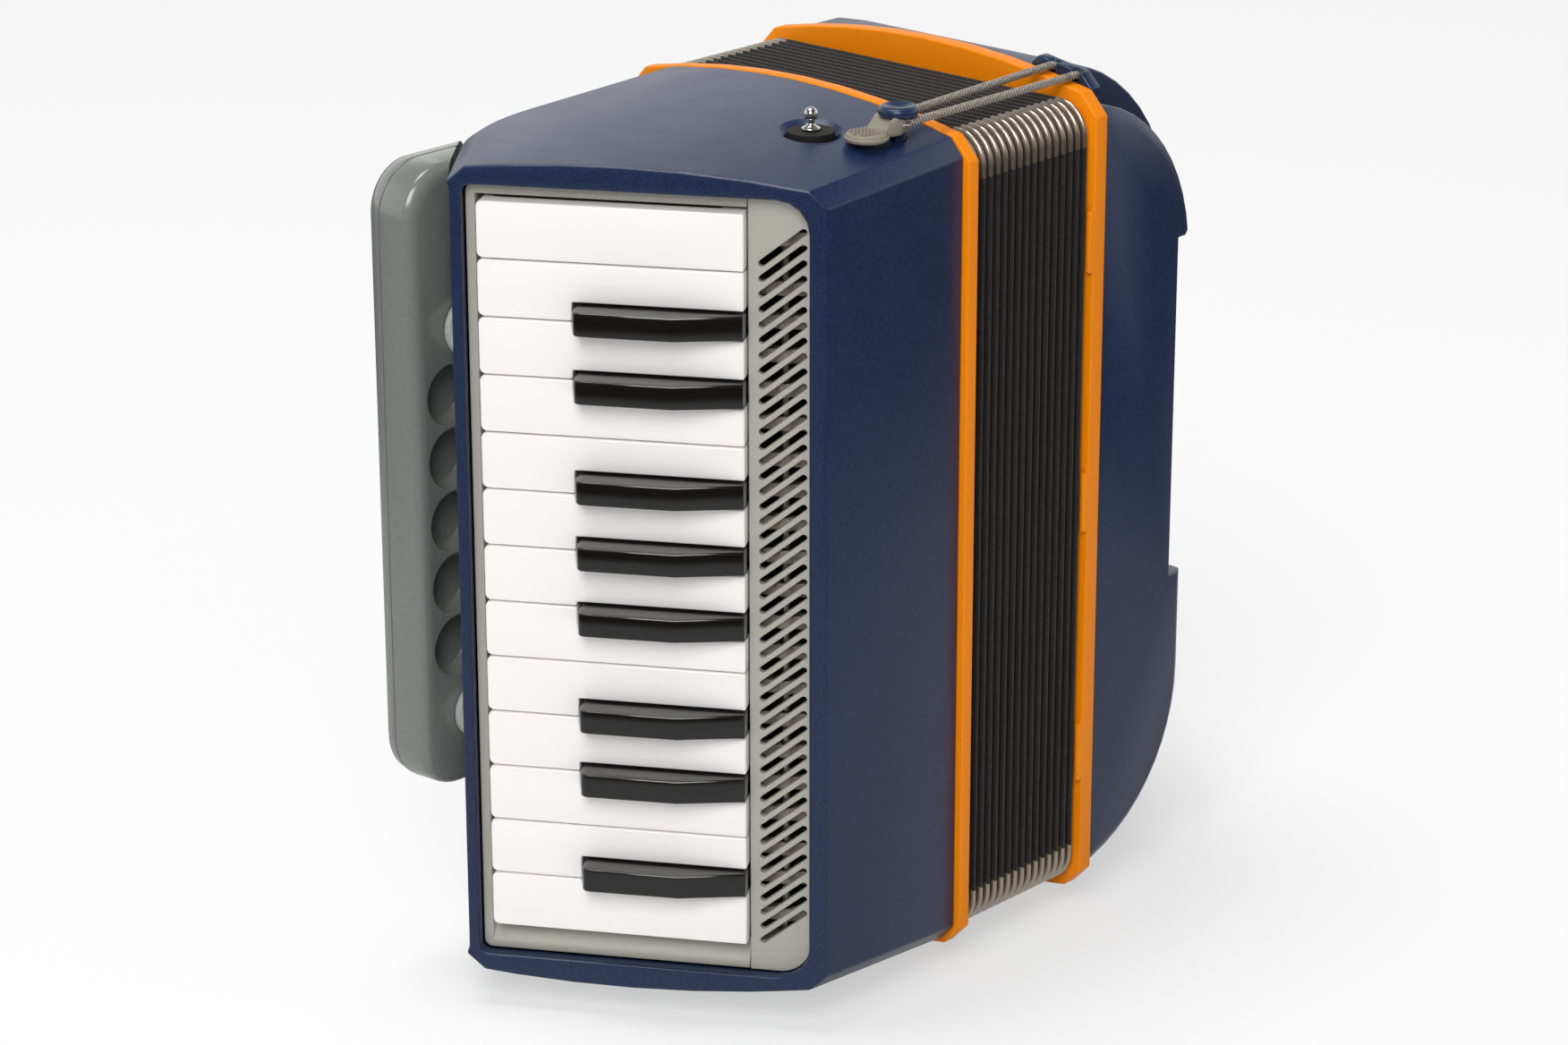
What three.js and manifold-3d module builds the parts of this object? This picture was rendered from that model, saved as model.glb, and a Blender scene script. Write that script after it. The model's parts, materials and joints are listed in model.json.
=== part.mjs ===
// A small piano accordion that stands on its feet, in millimetres: +X runs from the keyboard to the bass
// side, +Y from the front to the player, +Z up. The pieces are drawn about the front edge between the
// keyboard and the front panel, at mid-height, and the whole is then set on its footprint.
import * as THREE from "three";
import { mergeVertices } from "three/addons/utils/BufferGeometryUtils.js";
import Module from "manifold-3d";

const wasm = await Module();
wasm.setup();

// Clearances and cutting
const SEAT_GAP = 0.3;
const OVERRUN = 4;
const FULL_TURN = 2 * Math.PI;
const FILLET_STEPS = 4;

// Casing
const CASING_CAP = 14.1;
const CROWN_RADIUS = 300;
const CROWN_STEPS = 8;
const DRAFT_SHARE = 0.064;
const CASING_WALL = 2.5;
const BEVEL_DEPTH = 4.7;
const BEVEL_HEIGHT = 5.5;
const TREBLE_WIDTH = 60.6;
const KEYBOARD_DEGREES = 31.15;
const KEYBOARD_FACE = 115;
const KEYBOARD_WALL = 5;
const SLANT_DEGREES = 39.69;
const SLANT_DEPTH = 38.6;
const BACK_CORNER_SHARE = 0.99;
const SIDE_RECESS = 1.5;
const SIDE_RECESS_MARGIN = 1.2;
const SIDE_FLARE_SLOPE_SHARE = 2;
const BACK_BEVEL_SHARE = 1.75;
const SIDE_BEVEL_SHARE = 1.13;

// Keyboard opening in the casing
const OPENING_START = 5.5;
const OPENING_REAR_MARGIN = 4.9;
const OPENING_FRONT_RADIUS = 10;
const OPENING_REAR_RADIUS = 3;

// Keyboard frame
const BEZEL_DROP = 4.5;
const WELL_REAR_MARGIN = 3.3;
const WELL_MARGIN = 0.7;
const WELL_FLOOR = 16.5;
const FRAME_FLOOR = 3;
const FRAME_SKIRT = 3;
const FRAME_DEPTH = 21.7;
const LEDGE_RUN = 6.5;
const LEDGE_FALL = 4.5;

// Keys
const WHITE_COUNT = 13;
const KEY_PITCH = 18;
const KEYS_TOP_MARGIN = 4.5;
const KEYS_BOTTOM_MARGIN = 9.9;
const KEY_GAP = 0.5;
const KEY_DROP = 0.6;
const KEY_DEPTH = 9;
const KEY_START = 25.1;
const TIP_CLEARANCE = 1.1;
const WHITE_HEAD = 28.7;
const TIP_RADIUS = 1.6;
const TIP_STEPS = 2;
const LIP_THICKNESS = 4;
const KEY_RELIEF = 3.2;
const BLACK_SLOT = 9;
const BLACK_CLEARANCE = 0.5;
const BLACK_BASE = 8.2;
const BLACK_TOP = 7.4;
const BLACK_RIDGE_S = 45;
const BLACK_RIDGE_W = 7;
const BLACK_TIP_W = 7.3;
const BLACK_TIP_LEAN = 1.2;
const BLACK_TIP_RADIUS = 2.5;
const BLACK_TIP_STEPS = 3;
const BLACK_BACK_W = 1.4;
// Each black key lies above this many white keys, shifted by a share of the pitch.
const BLACK_SHIFT_SHARES = [
  [1, 1 / 6],
  [3, -1 / 12],
  [4, 1 / 12],
  [6, -1 / 6],
  [7, 0],
  [8, 1 / 6],
  [10, -1 / 12],
  [11, 1 / 12],
];

// Key arms, their axle and springs
const AXLE_S = 14.3;
const AXLE_W = -9.2;
const AXLE_DIAMETER = 2.4;
const AXLE_FIT = 0.3;
const AXLE_SOCKET = 3;
const EYE_STEPS = 8;
const PIN_STEPS = 10;
const BOSS_WALL = 1;
const ARM_TOP_W = -7.5;
const ARM_THICKNESS = 3.5;
const ARM_WIDTH = 4.4;
const ARM_OVERLAP = 8;
const ARM_END = 0.4;
const ARM_POST = 4;
const PALLET_LENGTH = 16;
const PALLET_WIDTH = 8.5;
const PALLET_THICKNESS = 3;
const PALLET_START = -6.5;
const SPRING_STRIP = 5;
const SPRING_GAUGE = 0.8;
const SPRING_FINGER = 1.4;
const SPRING_TIP_S = 19;
const SPRING_CLEARANCE = 0.7;
const SPRING_MARGIN = 1.5;

// Grille
const GRILLE_END = 24.6;
const GRILLE_THICKNESS = 2;
const SLOT_MARGIN = 15;
const SLOT_PITCH = 4.73;
const SLOT_LENGTH = 18.4;
const SLOT_WIDTH = 1.7;
const SLOT_DEGREES = 38.5;
const SLOT_CENTRE_S = 13.75;
const SLOT_STEPS = 2;

// Treble soundboard and reed block
const BOARD_THICKNESS = 3;
const BOARD_INSET = 2.9;
const BOARD_START = -8.5;
const BOARD_REACH = 2.7;
const TONE_HOLE_LENGTH = 12;
const TONE_HOLE_WIDTH = 6;
const REED_BLOCK_DEPTH = 20;
const REED_BLOCK_WALL = 2.5;
const REED_BLOCK_TAPER = 4;

// Flanges at the ends of the bellows
const FLANGE_OVERHANG = 2.1;
const TREBLE_FLANGE_RISE = 0.2;
const FLANGE_BEVEL_DEPTH = 6.5;
const FLANGE_BEVEL_HEIGHT = 7;
const TREBLE_FLANGE = 4.6;
const BASS_FLANGE = 5.6;
const SPIGOT_HEIGHT = 4;
const SPIGOT_WALL = 2;
const LUG_LENGTH = 20;
const LUG_HEIGHT = 2;
const LUG_THICKNESS = 1.8;
const LUG_Z_SHARES = [0.62, 0.01, -0.6];

// Bellows
const BELLOWS_LENGTH = 55.2;
const FOLD_COUNT = 16;
const FOLD_INSET = 2.2;
const FOLD_DEPTH = 7;
const BELLOWS_DROP = 4.9;
const BELLOWS_CORNER = 12;
const BELLOWS_CORNER_STEPS = 5;
const BELLOWS_WALL = 1.5;

// Bass casing and its front cover
const SHELL_SETBACK = 6.4;
const COVER_SETBACK = 9.2;
const SHELL_RADIUS = 67.5;
const SHELL_OVERSHOOT = 0.7;
const SHELL_ARC_STEPS = 12;
const COVER_RADIUS = 58.5;
const COVER_DROP = 0.9;
const COVER_DEPTH = 19;
const COVER_BEVEL = 5;
const COVER_BEVEL_DEPTH = 3;
const SHELL_BEVEL = 4;
const FIELD_FLOOR = 14;
const FIELD_END_Y = 62;
const FIELD_BOTTOM_Z = -37;
const FIELD_TOP_Z = 78;
const COVER_FIELD_DEPTH = 8.9;

// Bass buttons and the air button
const BUTTON_ROWS = 2;
const BUTTONS_PER_ROW = 4;
const BUTTON_PITCH = 17;
const BUTTON_ROW_PITCH = 14;
const BUTTON_DIAMETER = 9;
const BUTTON_PROUD = 5;
const BUTTON_FIT = 0.3;
const BUTTON_COLLAR = 1.2;
const BUTTON_COLLAR_LENGTH = 1.5;
const BUTTON_STEM = 8;
const BUTTON_STEM_DIAMETER = 4;
const BUTTON_EDGE = 1;
const BUTTON_STEPS = 12;
const FIRST_ROW_Y = 35;
const FIRST_BUTTON_Z = -22;
const AIR_BUTTON_Y = 42;
const AIR_BUTTON_Z = 61;
const AIR_BUTTON_DIAMETER = 13;

// Bass soundboard and reed block
const BASS_BOARD_HALF_HEIGHT = 100;
const BASS_BLOCK_DEPTH = 24;
const BASS_BLOCK_HALF_HEIGHT = 62;
const BASS_BLOCK_WIDTH = 30;
const BASS_CHAMBER_COUNT = 8;
const BASS_BOARD_DEPTH = 4;

// Hand strap
const STRAP_WIDTH = 50;
const STRAP_THICKNESS = 3;
const STRAP_FROM_BACK = 37;
const STRAP_HALF_SPAN = 66;
const STRAP_BOW = 25;
const STRAP_TUCK = 6;
const STRAP_STEPS = 14;
const STRAP_FIT = 0.3;

// Ball stud on its disc, in a pocket of the casing's top
const STUD_FROM_BELLOWS = 30.9;
const STUD_Y = 33.5;
const POCKET_DIAMETER = 16.6;
const POCKET_DEPTH = 4;
const STUD_BASE_DIAMETER = 14.4;
const STUD_BASE_HEIGHT = 2.6;
const STUD_BALL_DIAMETER = 5.8;
const STUD_BALL_RISE = 8;
const STUD_STEM_DIAMETER = 2.6;
const STUD_FOOT_DIAMETER = 6.4;
const STUD_FOOT_HEIGHT = 1.6;
const BALL_STEPS = 8;

// Closure button, pull tab, elastic cord and its bracket
const CLOSURE_FROM_BELLOWS = 14.3;
const CLOSURE_Y = 13.5;
const CAP_DIAMETER = 12.4;
const CAP_HEIGHT = 3.2;
const CAP_DISH = 0.8;
const CLOSURE_STEM_DIAMETER = 4.6;
const CLOSURE_FOOT_RISE = 1;
const CLOSURE_RIVET_DIAMETER = 9;
const CLOSURE_RIVET_HEIGHT = 1.5;
const CLOSURE_RIVET_DROP = 1.2;
const TAB_DIAMETER = 13.5;
const TAB_THICKNESS = 3;
const TAB_REACH = 12;
const TAB_DEGREES = 170;
const TAB_NECK = 6;
const TAB_EYE_DIAMETER = 9;
const TAB_EYE_THICKNESS = 2;
const CORD_DIAMETER = 2.5;
const CORD_SIDES = 8;
const CORD_SEAT_SHARE = 1.2;
const CORD_RUN_STEPS = 4;
const CORD_LOOP_STEPS = 6;
const CORD_LOOP_SLACK = 0.8;
const CORD_RISE_AT_STEM = 5.4;
const CORD_DIP = 1;
const BRACKET_LENGTH = 4.6;
const BRACKET_NOTCH = 2.8;
const BRACKET_FRONT_Y = 5;
const BRACKET_BACK_Y = 29;
const BRACKET_RISE = 3.2;
const BRACKET_END_SLOPE = 4.2;
const BRACKET_END_ROUND = 2.6;
const REAR_RUN_Y = 20.6;
const FRONT_RUN_Y = 11.4;

// Body rest on the player's side, and its two posts
const REST_SETBACK = 1.2;
const REST_DEPTH = 23.3;
const REST_COVER_DEPTH = 10.7;
const REST_OUTER_X = -61.6;
const REST_TOP_DROP = 13.5;
const REST_HEIGHT = 200.8;
const REST_CORNER = 17;
const REST_WALL_GAP = 0.8;
const REST_FRONT_ROUND = 4.5;
const REST_BACK_ROUND = 14;
const REST_END_SHARE = 0.4;
const REST_ROUND_STEPS = 4;
const DIMPLE_DIAMETER = 19.3;
const DIMPLE_PITCH = 20.35;
const DIMPLE_COUNT = 5;
const DIMPLE_TOP_DROP = 72.5;
const DIMPLE_INSET = 16.2;
const DIMPLE_DEPTH = 7;
const DIMPLE_STEPS = 20;
const POST_DIAMETER = 19.3;
const POST_INSET = 3.4;
const POST_PROUD = 2.4;
const POST_TOP_DROP = 51.8;
const POST_BOTTOM_RISE = 24.2;
const POST_BOLT_DIAMETER = 6;
const POST_BOLT_REACH = 9;

// Feet
const FOOT_DIAMETER = 15;
const FOOT_TAPER = 1.5;
const FOOT_STEPS = 16;
const FLOOR_CLEARANCE = 2;
const FOOT_FRONT_Y = 46;
const FOOT_FROM_BACK = 25;
const TREBLE_FOOT_X = 18;
const BASS_FOOT_INSET = 22.8;

// Directions of the keyboard wall and of the slanted wall behind it
const keyboardAngle = THREE.MathUtils.degToRad(KEYBOARD_DEGREES);
const keyboardTurn = Math.PI / 2 + keyboardAngle;
const keyboardMatrix = new THREE.Matrix4().makeRotationZ(keyboardTurn);
const sideTurn = THREE.MathUtils.degToRad(SLANT_DEGREES);
const tip = new THREE.Vector2(0, KEYBOARD_FACE).rotateAround(new THREE.Vector2(), keyboardAngle);
const sideMatrix = new THREE.Matrix4().makeRotationZ(sideTurn).setPosition(tip.x, tip.y, 0);
const sideLength = SLANT_DEPTH / Math.sin(sideTurn);
const backCorner = new THREE.Vector2(sideLength, 0).rotateAround(new THREE.Vector2(), sideTurn).add(tip);
const CASING_DEPTH = backCorner.y;

// Heights that follow from the keyboard's length, and places along it
const OPENING_HALF_HEIGHT = (WHITE_COUNT * KEY_PITCH + KEYS_TOP_MARGIN + KEYS_BOTTOM_MARGIN) / 2;
const CASING_HALF_HEIGHT = OPENING_HALF_HEIGHT + CASING_CAP;
const OPENING_END = KEYBOARD_FACE - OPENING_REAR_MARGIN;
const WELL_END = OPENING_END - WELL_REAR_MARGIN;
const WHITE_TIP = WELL_END - TIP_CLEARANCE;
const BLACK_SLOT_END = WHITE_TIP - WHITE_HEAD;
const BLACK_TIP = BLACK_SLOT_END - BLACK_CLEARANCE;

// Places along X that follow from the sizes above
const TREBLE_FLANGE_X = TREBLE_WIDTH + SEAT_GAP;
const BELLOWS_X = TREBLE_FLANGE_X + TREBLE_FLANGE + SEAT_GAP;
const BASS_FLANGE_X = BELLOWS_X + BELLOWS_LENGTH + SEAT_GAP;
const BASS_X = BASS_FLANGE_X + BASS_FLANGE + SEAT_GAP;
const SHELL_CENTRE_X = BASS_X - SHELL_SETBACK;
const COVER_CENTRE_X = BASS_X - COVER_SETBACK;
const SHELL_OUTER_X = SHELL_CENTRE_X + SHELL_RADIUS;
const FIELD_X = SHELL_OUTER_X - FIELD_FLOOR;
const FLANGE_HALF_HEIGHT = CASING_HALF_HEIGHT + FLANGE_OVERHANG;
const FLOOR_Z = -FLANGE_HALF_HEIGHT - FLOOR_CLEARANCE;
const MIDDLE_Y = CASING_DEPTH / 2;
const STUD_X = TREBLE_WIDTH - STUD_FROM_BELLOWS;
const CLOSURE_X = TREBLE_WIDTH - CLOSURE_FROM_BELLOWS;
const STRAP_CENTRE_Y = CASING_DEPTH - STRAP_FROM_BACK;
const SHELL_CENTRE_Z = CASING_HALF_HEIGHT + SHELL_OVERSHOOT - SHELL_RADIUS;
const COVER_CENTRE_Z = crownHeight(0, CASING_HALF_HEIGHT) - COVER_DROP - COVER_RADIUS;

// Places of the body rest, its dimples and its posts
const REST_BACK_Y = CASING_DEPTH - REST_SETBACK;
const REST_FRONT_Y = REST_BACK_Y - REST_DEPTH;
const REST_SEAM_Y = REST_BACK_Y - REST_COVER_DEPTH;
const REST_TOP_Z = CASING_HALF_HEIGHT - REST_TOP_DROP;
const REST_BOTTOM_Z = REST_TOP_Z - REST_HEIGHT;
const POST_X = tip.x + (REST_FRONT_Y + POST_INSET - tip.y) / Math.tan(sideTurn);
const postHeights = [REST_TOP_Z - POST_TOP_DROP, REST_BOTTOM_Z + POST_BOTTOM_RISE];

const paint = (color, roughness, metalness = 0) =>
  new THREE.MeshStandardMaterial({ color, roughness, metalness });
const materials = {
  navy: paint(0x2b3a52, 0.45),
  orange: paint(0xe07c0c, 0.45),
  grille: paint(0xa6a39a, 0.5),
  ivory: paint(0xf6f3ec, 0.25),
  ebony: paint(0x14120f, 0.2),
  bellows: paint(0x2a2625, 0.9),
  rest: paint(0x717975, 0.3),
  steel: paint(0xc9c8c4, 0.25, 1),
  wood: paint(0xb98f5a, 0.7),
  strap: paint(0x1d1c1c, 0.8),
  rubber: paint(0x1b1b1b, 0.9),
  tab: paint(0x86806f, 0.6),
  elastic: paint(0xb9b3a2, 0.8),
};

// A geometry as a solid that can be joined and cut, without its flattened triangles.
function solid(geometry) {
  const bare = geometry.clone();
  bare.deleteAttribute("normal");
  bare.deleteAttribute("uv");
  const merged = mergeVertices(bare);
  const triangles = [];
  for (let i = 0; i < merged.index.count; i += 3) {
    const [a, b, c] = [0, 1, 2].map((k) => merged.index.getX(i + k));
    if (a !== b && b !== c && c !== a) triangles.push(a, b, c);
  }
  return new wasm.Manifold(
    new wasm.Mesh({
      numProp: 3,
      vertProperties: merged.attributes.position.array,
      triVerts: new Uint32Array(triangles),
    }),
  );
}

function geometryOf(body) {
  const mesh = body.getMesh();
  const geometry = new THREE.BufferGeometry();
  geometry.setAttribute("position", new THREE.BufferAttribute(mesh.vertProperties, mesh.numProp));
  geometry.setIndex(new THREE.BufferAttribute(mesh.triVerts, 1));
  geometry.computeVertexNormals();
  return geometry;
}

const join = (...pieces) => pieces.reduce((whole, piece) => whole.add(piece));
const cut = (base, ...tools) => tools.reduce((rest, tool) => rest.subtract(tool), base);

// Triangles that close a flat ring of points, turned with the ring.
function capOf(ring) {
  const normal = new THREE.Vector3();
  ring.forEach((p, i) => {
    const q = ring[(i + 1) % ring.length];
    normal.x += (p.y - q.y) * (p.z + q.z);
    normal.y += (p.z - q.z) * (p.x + q.x);
    normal.z += (p.x - q.x) * (p.y + q.y);
  });
  normal.normalize();
  const across = new THREE.Vector3(normal.y, normal.z, normal.x).cross(normal).normalize();
  const up = normal.clone().cross(across);
  const flat = ring.map((p) => new THREE.Vector2(p.dot(across), p.dot(up)));
  return THREE.ShapeUtils.triangulateShape(flat, []);
}

// A closed skin through rings that turn anticlockwise when seen from the last one.
function loft(rings) {
  const count = rings[0].length;
  const last = (rings.length - 1) * count;
  const index = [];
  for (let r = 0; r < last; r += count) {
    for (let i = 0; i < count; i++) {
      const next = (i + 1) % count;
      index.push(r + i, r + next, r + count + next);
      index.push(r + i, r + count + next, r + count + i);
    }
  }
  capOf(rings[0]).forEach(([a, b, c]) => index.push(a, c, b));
  capOf(rings.at(-1)).forEach(([a, b, c]) => index.push(last + a, last + b, last + c));
  const geometry = new THREE.BufferGeometry().setFromPoints(rings.flat());
  geometry.setIndex(index);
  return geometry;
}

// Prisms of a flat shape along each axis: along X it is drawn in (y, z), along Y in (z, x).
const axesAlongX = new THREE.Matrix4().set(0, 0, 1, 0, 1, 0, 0, 0, 0, 1, 0, 0, 0, 0, 0, 1);
const axesAlongY = new THREE.Matrix4().set(0, 1, 0, 0, 0, 0, 1, 0, 1, 0, 0, 0, 0, 0, 0, 1);

function alongZ(outline, from, to, holes = []) {
  const shape = new THREE.Shape(outline);
  shape.holes = holes.map((hole) => new THREE.Path(hole));
  const geometry = new THREE.ExtrudeGeometry(shape, { depth: to - from, bevelEnabled: false });
  return geometry.translate(0, 0, from);
}

const alongX = (outline, from, to, holes) => alongZ(outline, from, to, holes).applyMatrix4(axesAlongX);
const alongY = (outline, from, to, holes) => alongZ(outline, from, to, holes).applyMatrix4(axesAlongY);

const rectangle = (x0, y0, x1, y1) => [
  new THREE.Vector2(x0, y0),
  new THREE.Vector2(x1, y0),
  new THREE.Vector2(x1, y1),
  new THREE.Vector2(x0, y1),
];

function block(x0, x1, y0, y1, z0, z1) {
  return alongZ(rectangle(x0, y0, x1, y1), z0, z1);
}

function circle(x, y, radius, steps) {
  return Array.from({ length: steps }, (_, i) => {
    const angle = (FULL_TURN * i) / steps;
    return new THREE.Vector2(x + radius * Math.cos(angle), y + radius * Math.sin(angle));
  });
}

// An outline whose corners [x, y, radius] are rounded where they have a radius.
function filleted(corners, steps = FILLET_STEPS) {
  return corners.flatMap(([x, y, radius], i) => {
    const corner = new THREE.Vector2(x, y);
    if (!radius) return [corner];
    const toward = (other) => new THREE.Vector2(other[0], other[1]).sub(corner).normalize();
    const before = toward(corners.at(i - 1));
    const after = toward(corners[(i + 1) % corners.length]);
    const half = Math.acos(before.dot(after)) / 2;
    const bisector = before.clone().add(after).normalize();
    const centre = corner.clone().addScaledVector(bisector, radius / Math.sin(half));
    const start = corner.clone().addScaledVector(before, radius / Math.tan(half)).sub(centre);
    const turn = (Math.PI - 2 * half) * Math.sign(after.cross(before));
    return Array.from({ length: steps + 1 }, (_, k) =>
      start.clone().rotateAround(new THREE.Vector2(), (turn * k) / steps).add(centre),
    );
  });
}

// An outline drawn in by its own distance on each edge, the first edge starting at the first point.
function inset(outline, distances) {
  const edges = outline.map((start, i) => {
    const along = outline[(i + 1) % outline.length].clone().sub(start).normalize();
    const inward = new THREE.Vector2(-along.y, along.x);
    return { start: start.clone().addScaledVector(inward, distances[i]), along };
  });
  return edges.map((edge, i) => {
    const before = edges.at(i - 1);
    const span = edge.start.clone().sub(before.start);
    const reach = span.cross(edge.along) / before.along.cross(edge.along);
    return before.start.clone().addScaledVector(before.along, reach);
  });
}

// A turned piece: its profile [radius, height] runs from the axis below to the axis above.
function turned(profile, steps) {
  const points = profile.map(([radius, height]) => new THREE.Vector2(radius, height));
  return new THREE.LatheGeometry(points, steps).rotateX(Math.PI / 2);
}

const add = (group, name, geometry, material) => {
  const mesh = new THREE.Mesh(geometry, material);
  mesh.name = name;
  group.add(mesh);
  return mesh;
};

// The outline seen along X: crowned top and bottom with bevelled corners. It stands proud of the casing's
// outline by an overhang, or at the top by a rise of its own.
function crownOutline({
  overhang = 0,
  rise = overhang,
  bevelDepth = BEVEL_DEPTH,
  bevelHeight = BEVEL_HEIGHT,
  drawnIn = 0,
}) {
  const front = drawnIn - overhang;
  const back = CASING_DEPTH - front;
  const edge = (halfHeight) => {
    const upper = [];
    for (let i = 0; i <= CROWN_STEPS; i++) {
      const y = THREE.MathUtils.lerp(front + bevelDepth, back - bevelDepth, i / CROWN_STEPS);
      upper.push([y, crownHeight(y, halfHeight)]);
    }
    const side = upper[0][1] - bevelHeight;
    return [[front, side], ...upper, [back, side]];
  };
  const top = edge(CASING_HALF_HEIGHT + rise - drawnIn);
  const bottom = edge(CASING_HALF_HEIGHT + overhang - drawnIn).map(([y, z]) => [y, -z]);
  return [...bottom, ...top.reverse()].map(([y, z]) => new THREE.Vector2(y, z));
}

function crownHeight(y, halfHeight) {
  return halfHeight - CROWN_RADIUS + Math.sqrt(CROWN_RADIUS ** 2 - (y - MIDDLE_Y) ** 2);
}

const draft = (x) => 1 - (DRAFT_SHARE * (TREBLE_WIDTH - x)) / CASING_HALF_HEIGHT;
const topOfTreble = (x, y) => crownHeight(y, CASING_HALF_HEIGHT) * draft(x);

// A block of that outline from one x to another, with the casing's draft or none.
function crownBlock(outline, from, to, shrink = () => 1) {
  const ring = (x) => outline.map((p) => new THREE.Vector3(x, p.x, p.y * shrink(x)));
  return loft([ring(from), ring(to)]);
}

// The treble casing seen from above: front panel, bellows side, back, slanted wall, keyboard wall.
const trebleOutline = [
  new THREE.Vector2(0, 0),
  new THREE.Vector2(TREBLE_WIDTH, 0),
  new THREE.Vector2(TREBLE_WIDTH, CASING_DEPTH),
  backCorner,
  tip,
];

// That outline drawn in by a distance on each edge, with its back corner rounded.
function trebleRing(distances, z) {
  const corners = inset(trebleOutline, distances).map((p, i) => [
    p.x,
    p.y,
    trebleOutline[i] === backCorner ? sideLength * BACK_CORNER_SHARE : 0,
  ]);
  return filleted(corners, CROWN_STEPS).map((p) => new THREE.Vector3(p.x, p.y, z));
}

// A block of it, bevelled above and below the opening along its back and its slanted wall.
function trebleBlock([front, mouth, back, side, keyboard]) {
  const rise = CASING_CAP + OVERRUN;
  const bevelled = [front, mouth, back + rise * BACK_BEVEL_SHARE, side + rise * SIDE_BEVEL_SHARE, keyboard];
  const full = [front, mouth, back, side, keyboard];
  const level = OPENING_HALF_HEIGHT;
  return solid(
    loft([
      trebleRing(bevelled, -level - rise),
      trebleRing(full, -level),
      trebleRing(full, level),
      trebleRing(bevelled, level + rise),
    ]),
  );
}

// The keyboard opening or what fits it, seen square on in (z, s), drawn in by a fit.
function openingOutline(fit) {
  const half = OPENING_HALF_HEIGHT - fit;
  const start = OPENING_START + fit;
  const end = OPENING_END - fit;
  return filleted([
    [-half, start, OPENING_FRONT_RADIUS - fit],
    [half, start, OPENING_FRONT_RADIUS - fit],
    [half, end, OPENING_REAR_RADIUS - fit],
    [-half, end, OPENING_REAR_RADIUS - fit],
  ]);
}

// The hollow of the treble casing, open toward the bellows, or what fits it with a clearance.
function trebleHollow(clearance) {
  const wall = CASING_WALL + clearance;
  const rearWall = wall + SIDE_RECESS;
  return solid(crownBlock(crownOutline({ drawnIn: wall }), tip.x, TREBLE_WIDTH + OVERRUN, draft)).intersect(
    trebleBlock([wall, -OVERRUN, rearWall, rearWall, KEYBOARD_WALL + clearance]),
  );
}

function trebleCasing() {
  const outer = solid(crownBlock(crownOutline({}), tip.x - OVERRUN, TREBLE_WIDTH, draft)).intersect(
    trebleBlock([0, 0, 0, 0, 0]),
  );
  // The slanted wall lies back between the two caps.
  const z = OPENING_HALF_HEIGHT - SIDE_RECESS_MARGIN;
  const flare = (OVERRUN + SIDE_RECESS) * SIDE_FLARE_SLOPE_SHARE;
  const recess = alongX(
    [
      new THREE.Vector2(-SIDE_RECESS, -z),
      new THREE.Vector2(OVERRUN, -z - flare),
      new THREE.Vector2(OVERRUN, z + flare),
      new THREE.Vector2(-SIDE_RECESS, z),
    ],
    -OVERRUN,
    sideLength + OVERRUN,
  ).applyMatrix4(sideMatrix);
  const opening = alongY(openingOutline(0), -KEYBOARD_WALL - OVERRUN, OVERRUN).applyMatrix4(keyboardMatrix);
  const shell = cut(outer, solid(recess), trebleHollow(0), solid(opening));
  // A cup under the ball stud, holes for the closure's stem and for the bolts of the body rest.
  const stud = topOfTreble(STUD_X, STUD_Y);
  const cupBottom = stud - POCKET_DEPTH - CASING_WALL;
  const cupRadius = POCKET_DIAMETER / 2 + CASING_WALL;
  const cup = alongZ(circle(STUD_X, STUD_Y, cupRadius, DIMPLE_STEPS), cupBottom, stud - CASING_WALL / 2);
  const pocket = alongZ(
    circle(STUD_X, STUD_Y, POCKET_DIAMETER / 2, DIMPLE_STEPS),
    stud - POCKET_DEPTH,
    stud + OVERRUN,
  );
  const stemHole = alongZ(
    circle(CLOSURE_X, CLOSURE_Y, CLOSURE_STEM_DIAMETER / 2 + SEAT_GAP, FOOT_STEPS),
    topOfTreble(CLOSURE_X, CLOSURE_Y) - CASING_WALL - OVERRUN,
    CASING_HALF_HEIGHT + OVERRUN,
  );
  const bolts = postHeights.map((height) =>
    solid(boltAt(height, POST_BOLT_DIAMETER / 2 + SEAT_GAP, OVERRUN * 3)),
  );
  return cut(join(shell, solid(cup)), solid(pocket), solid(stemHole), ...bolts);
}

// A round bar square to the slanted wall at a post's place, from inside the casing outwards.
function boltAt(height, radius, reach) {
  const along = (POST_X - tip.x) / Math.cos(sideTurn);
  const bar = alongY(circle(0, 0, radius, FOOT_STEPS), -reach, reach);
  return bar.translate(along, 0, height).applyMatrix4(sideMatrix);
}

// A flange's plate, open for the bore of the bellows.
function flangePlate(x, thickness, rise = FLANGE_OVERHANG) {
  const outline = crownOutline({
    overhang: FLANGE_OVERHANG,
    rise,
    bevelDepth: FLANGE_BEVEL_DEPTH,
    bevelHeight: FLANGE_BEVEL_HEIGHT,
  });
  const bore = alongX(bellowsBore(), x - OVERRUN, x + thickness + OVERRUN);
  return cut(solid(alongX(outline, x, x + thickness)), solid(bore));
}

// A rim on the casing's side centres the treble flange in it.
function trebleFlange() {
  const reach = CASING_HALF_HEIGHT;
  const rim = solid(
    block(TREBLE_FLANGE_X - SPIGOT_HEIGHT, TREBLE_FLANGE_X + SEAT_GAP, 0, CASING_DEPTH, -reach, reach),
  ).intersect(cut(trebleHollow(SEAT_GAP * 2), trebleHollow(SEAT_GAP * 2 + SPIGOT_WALL)));
  return join(flangePlate(TREBLE_FLANGE_X, TREBLE_FLANGE, TREBLE_FLANGE_RISE), rim);
}

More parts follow.
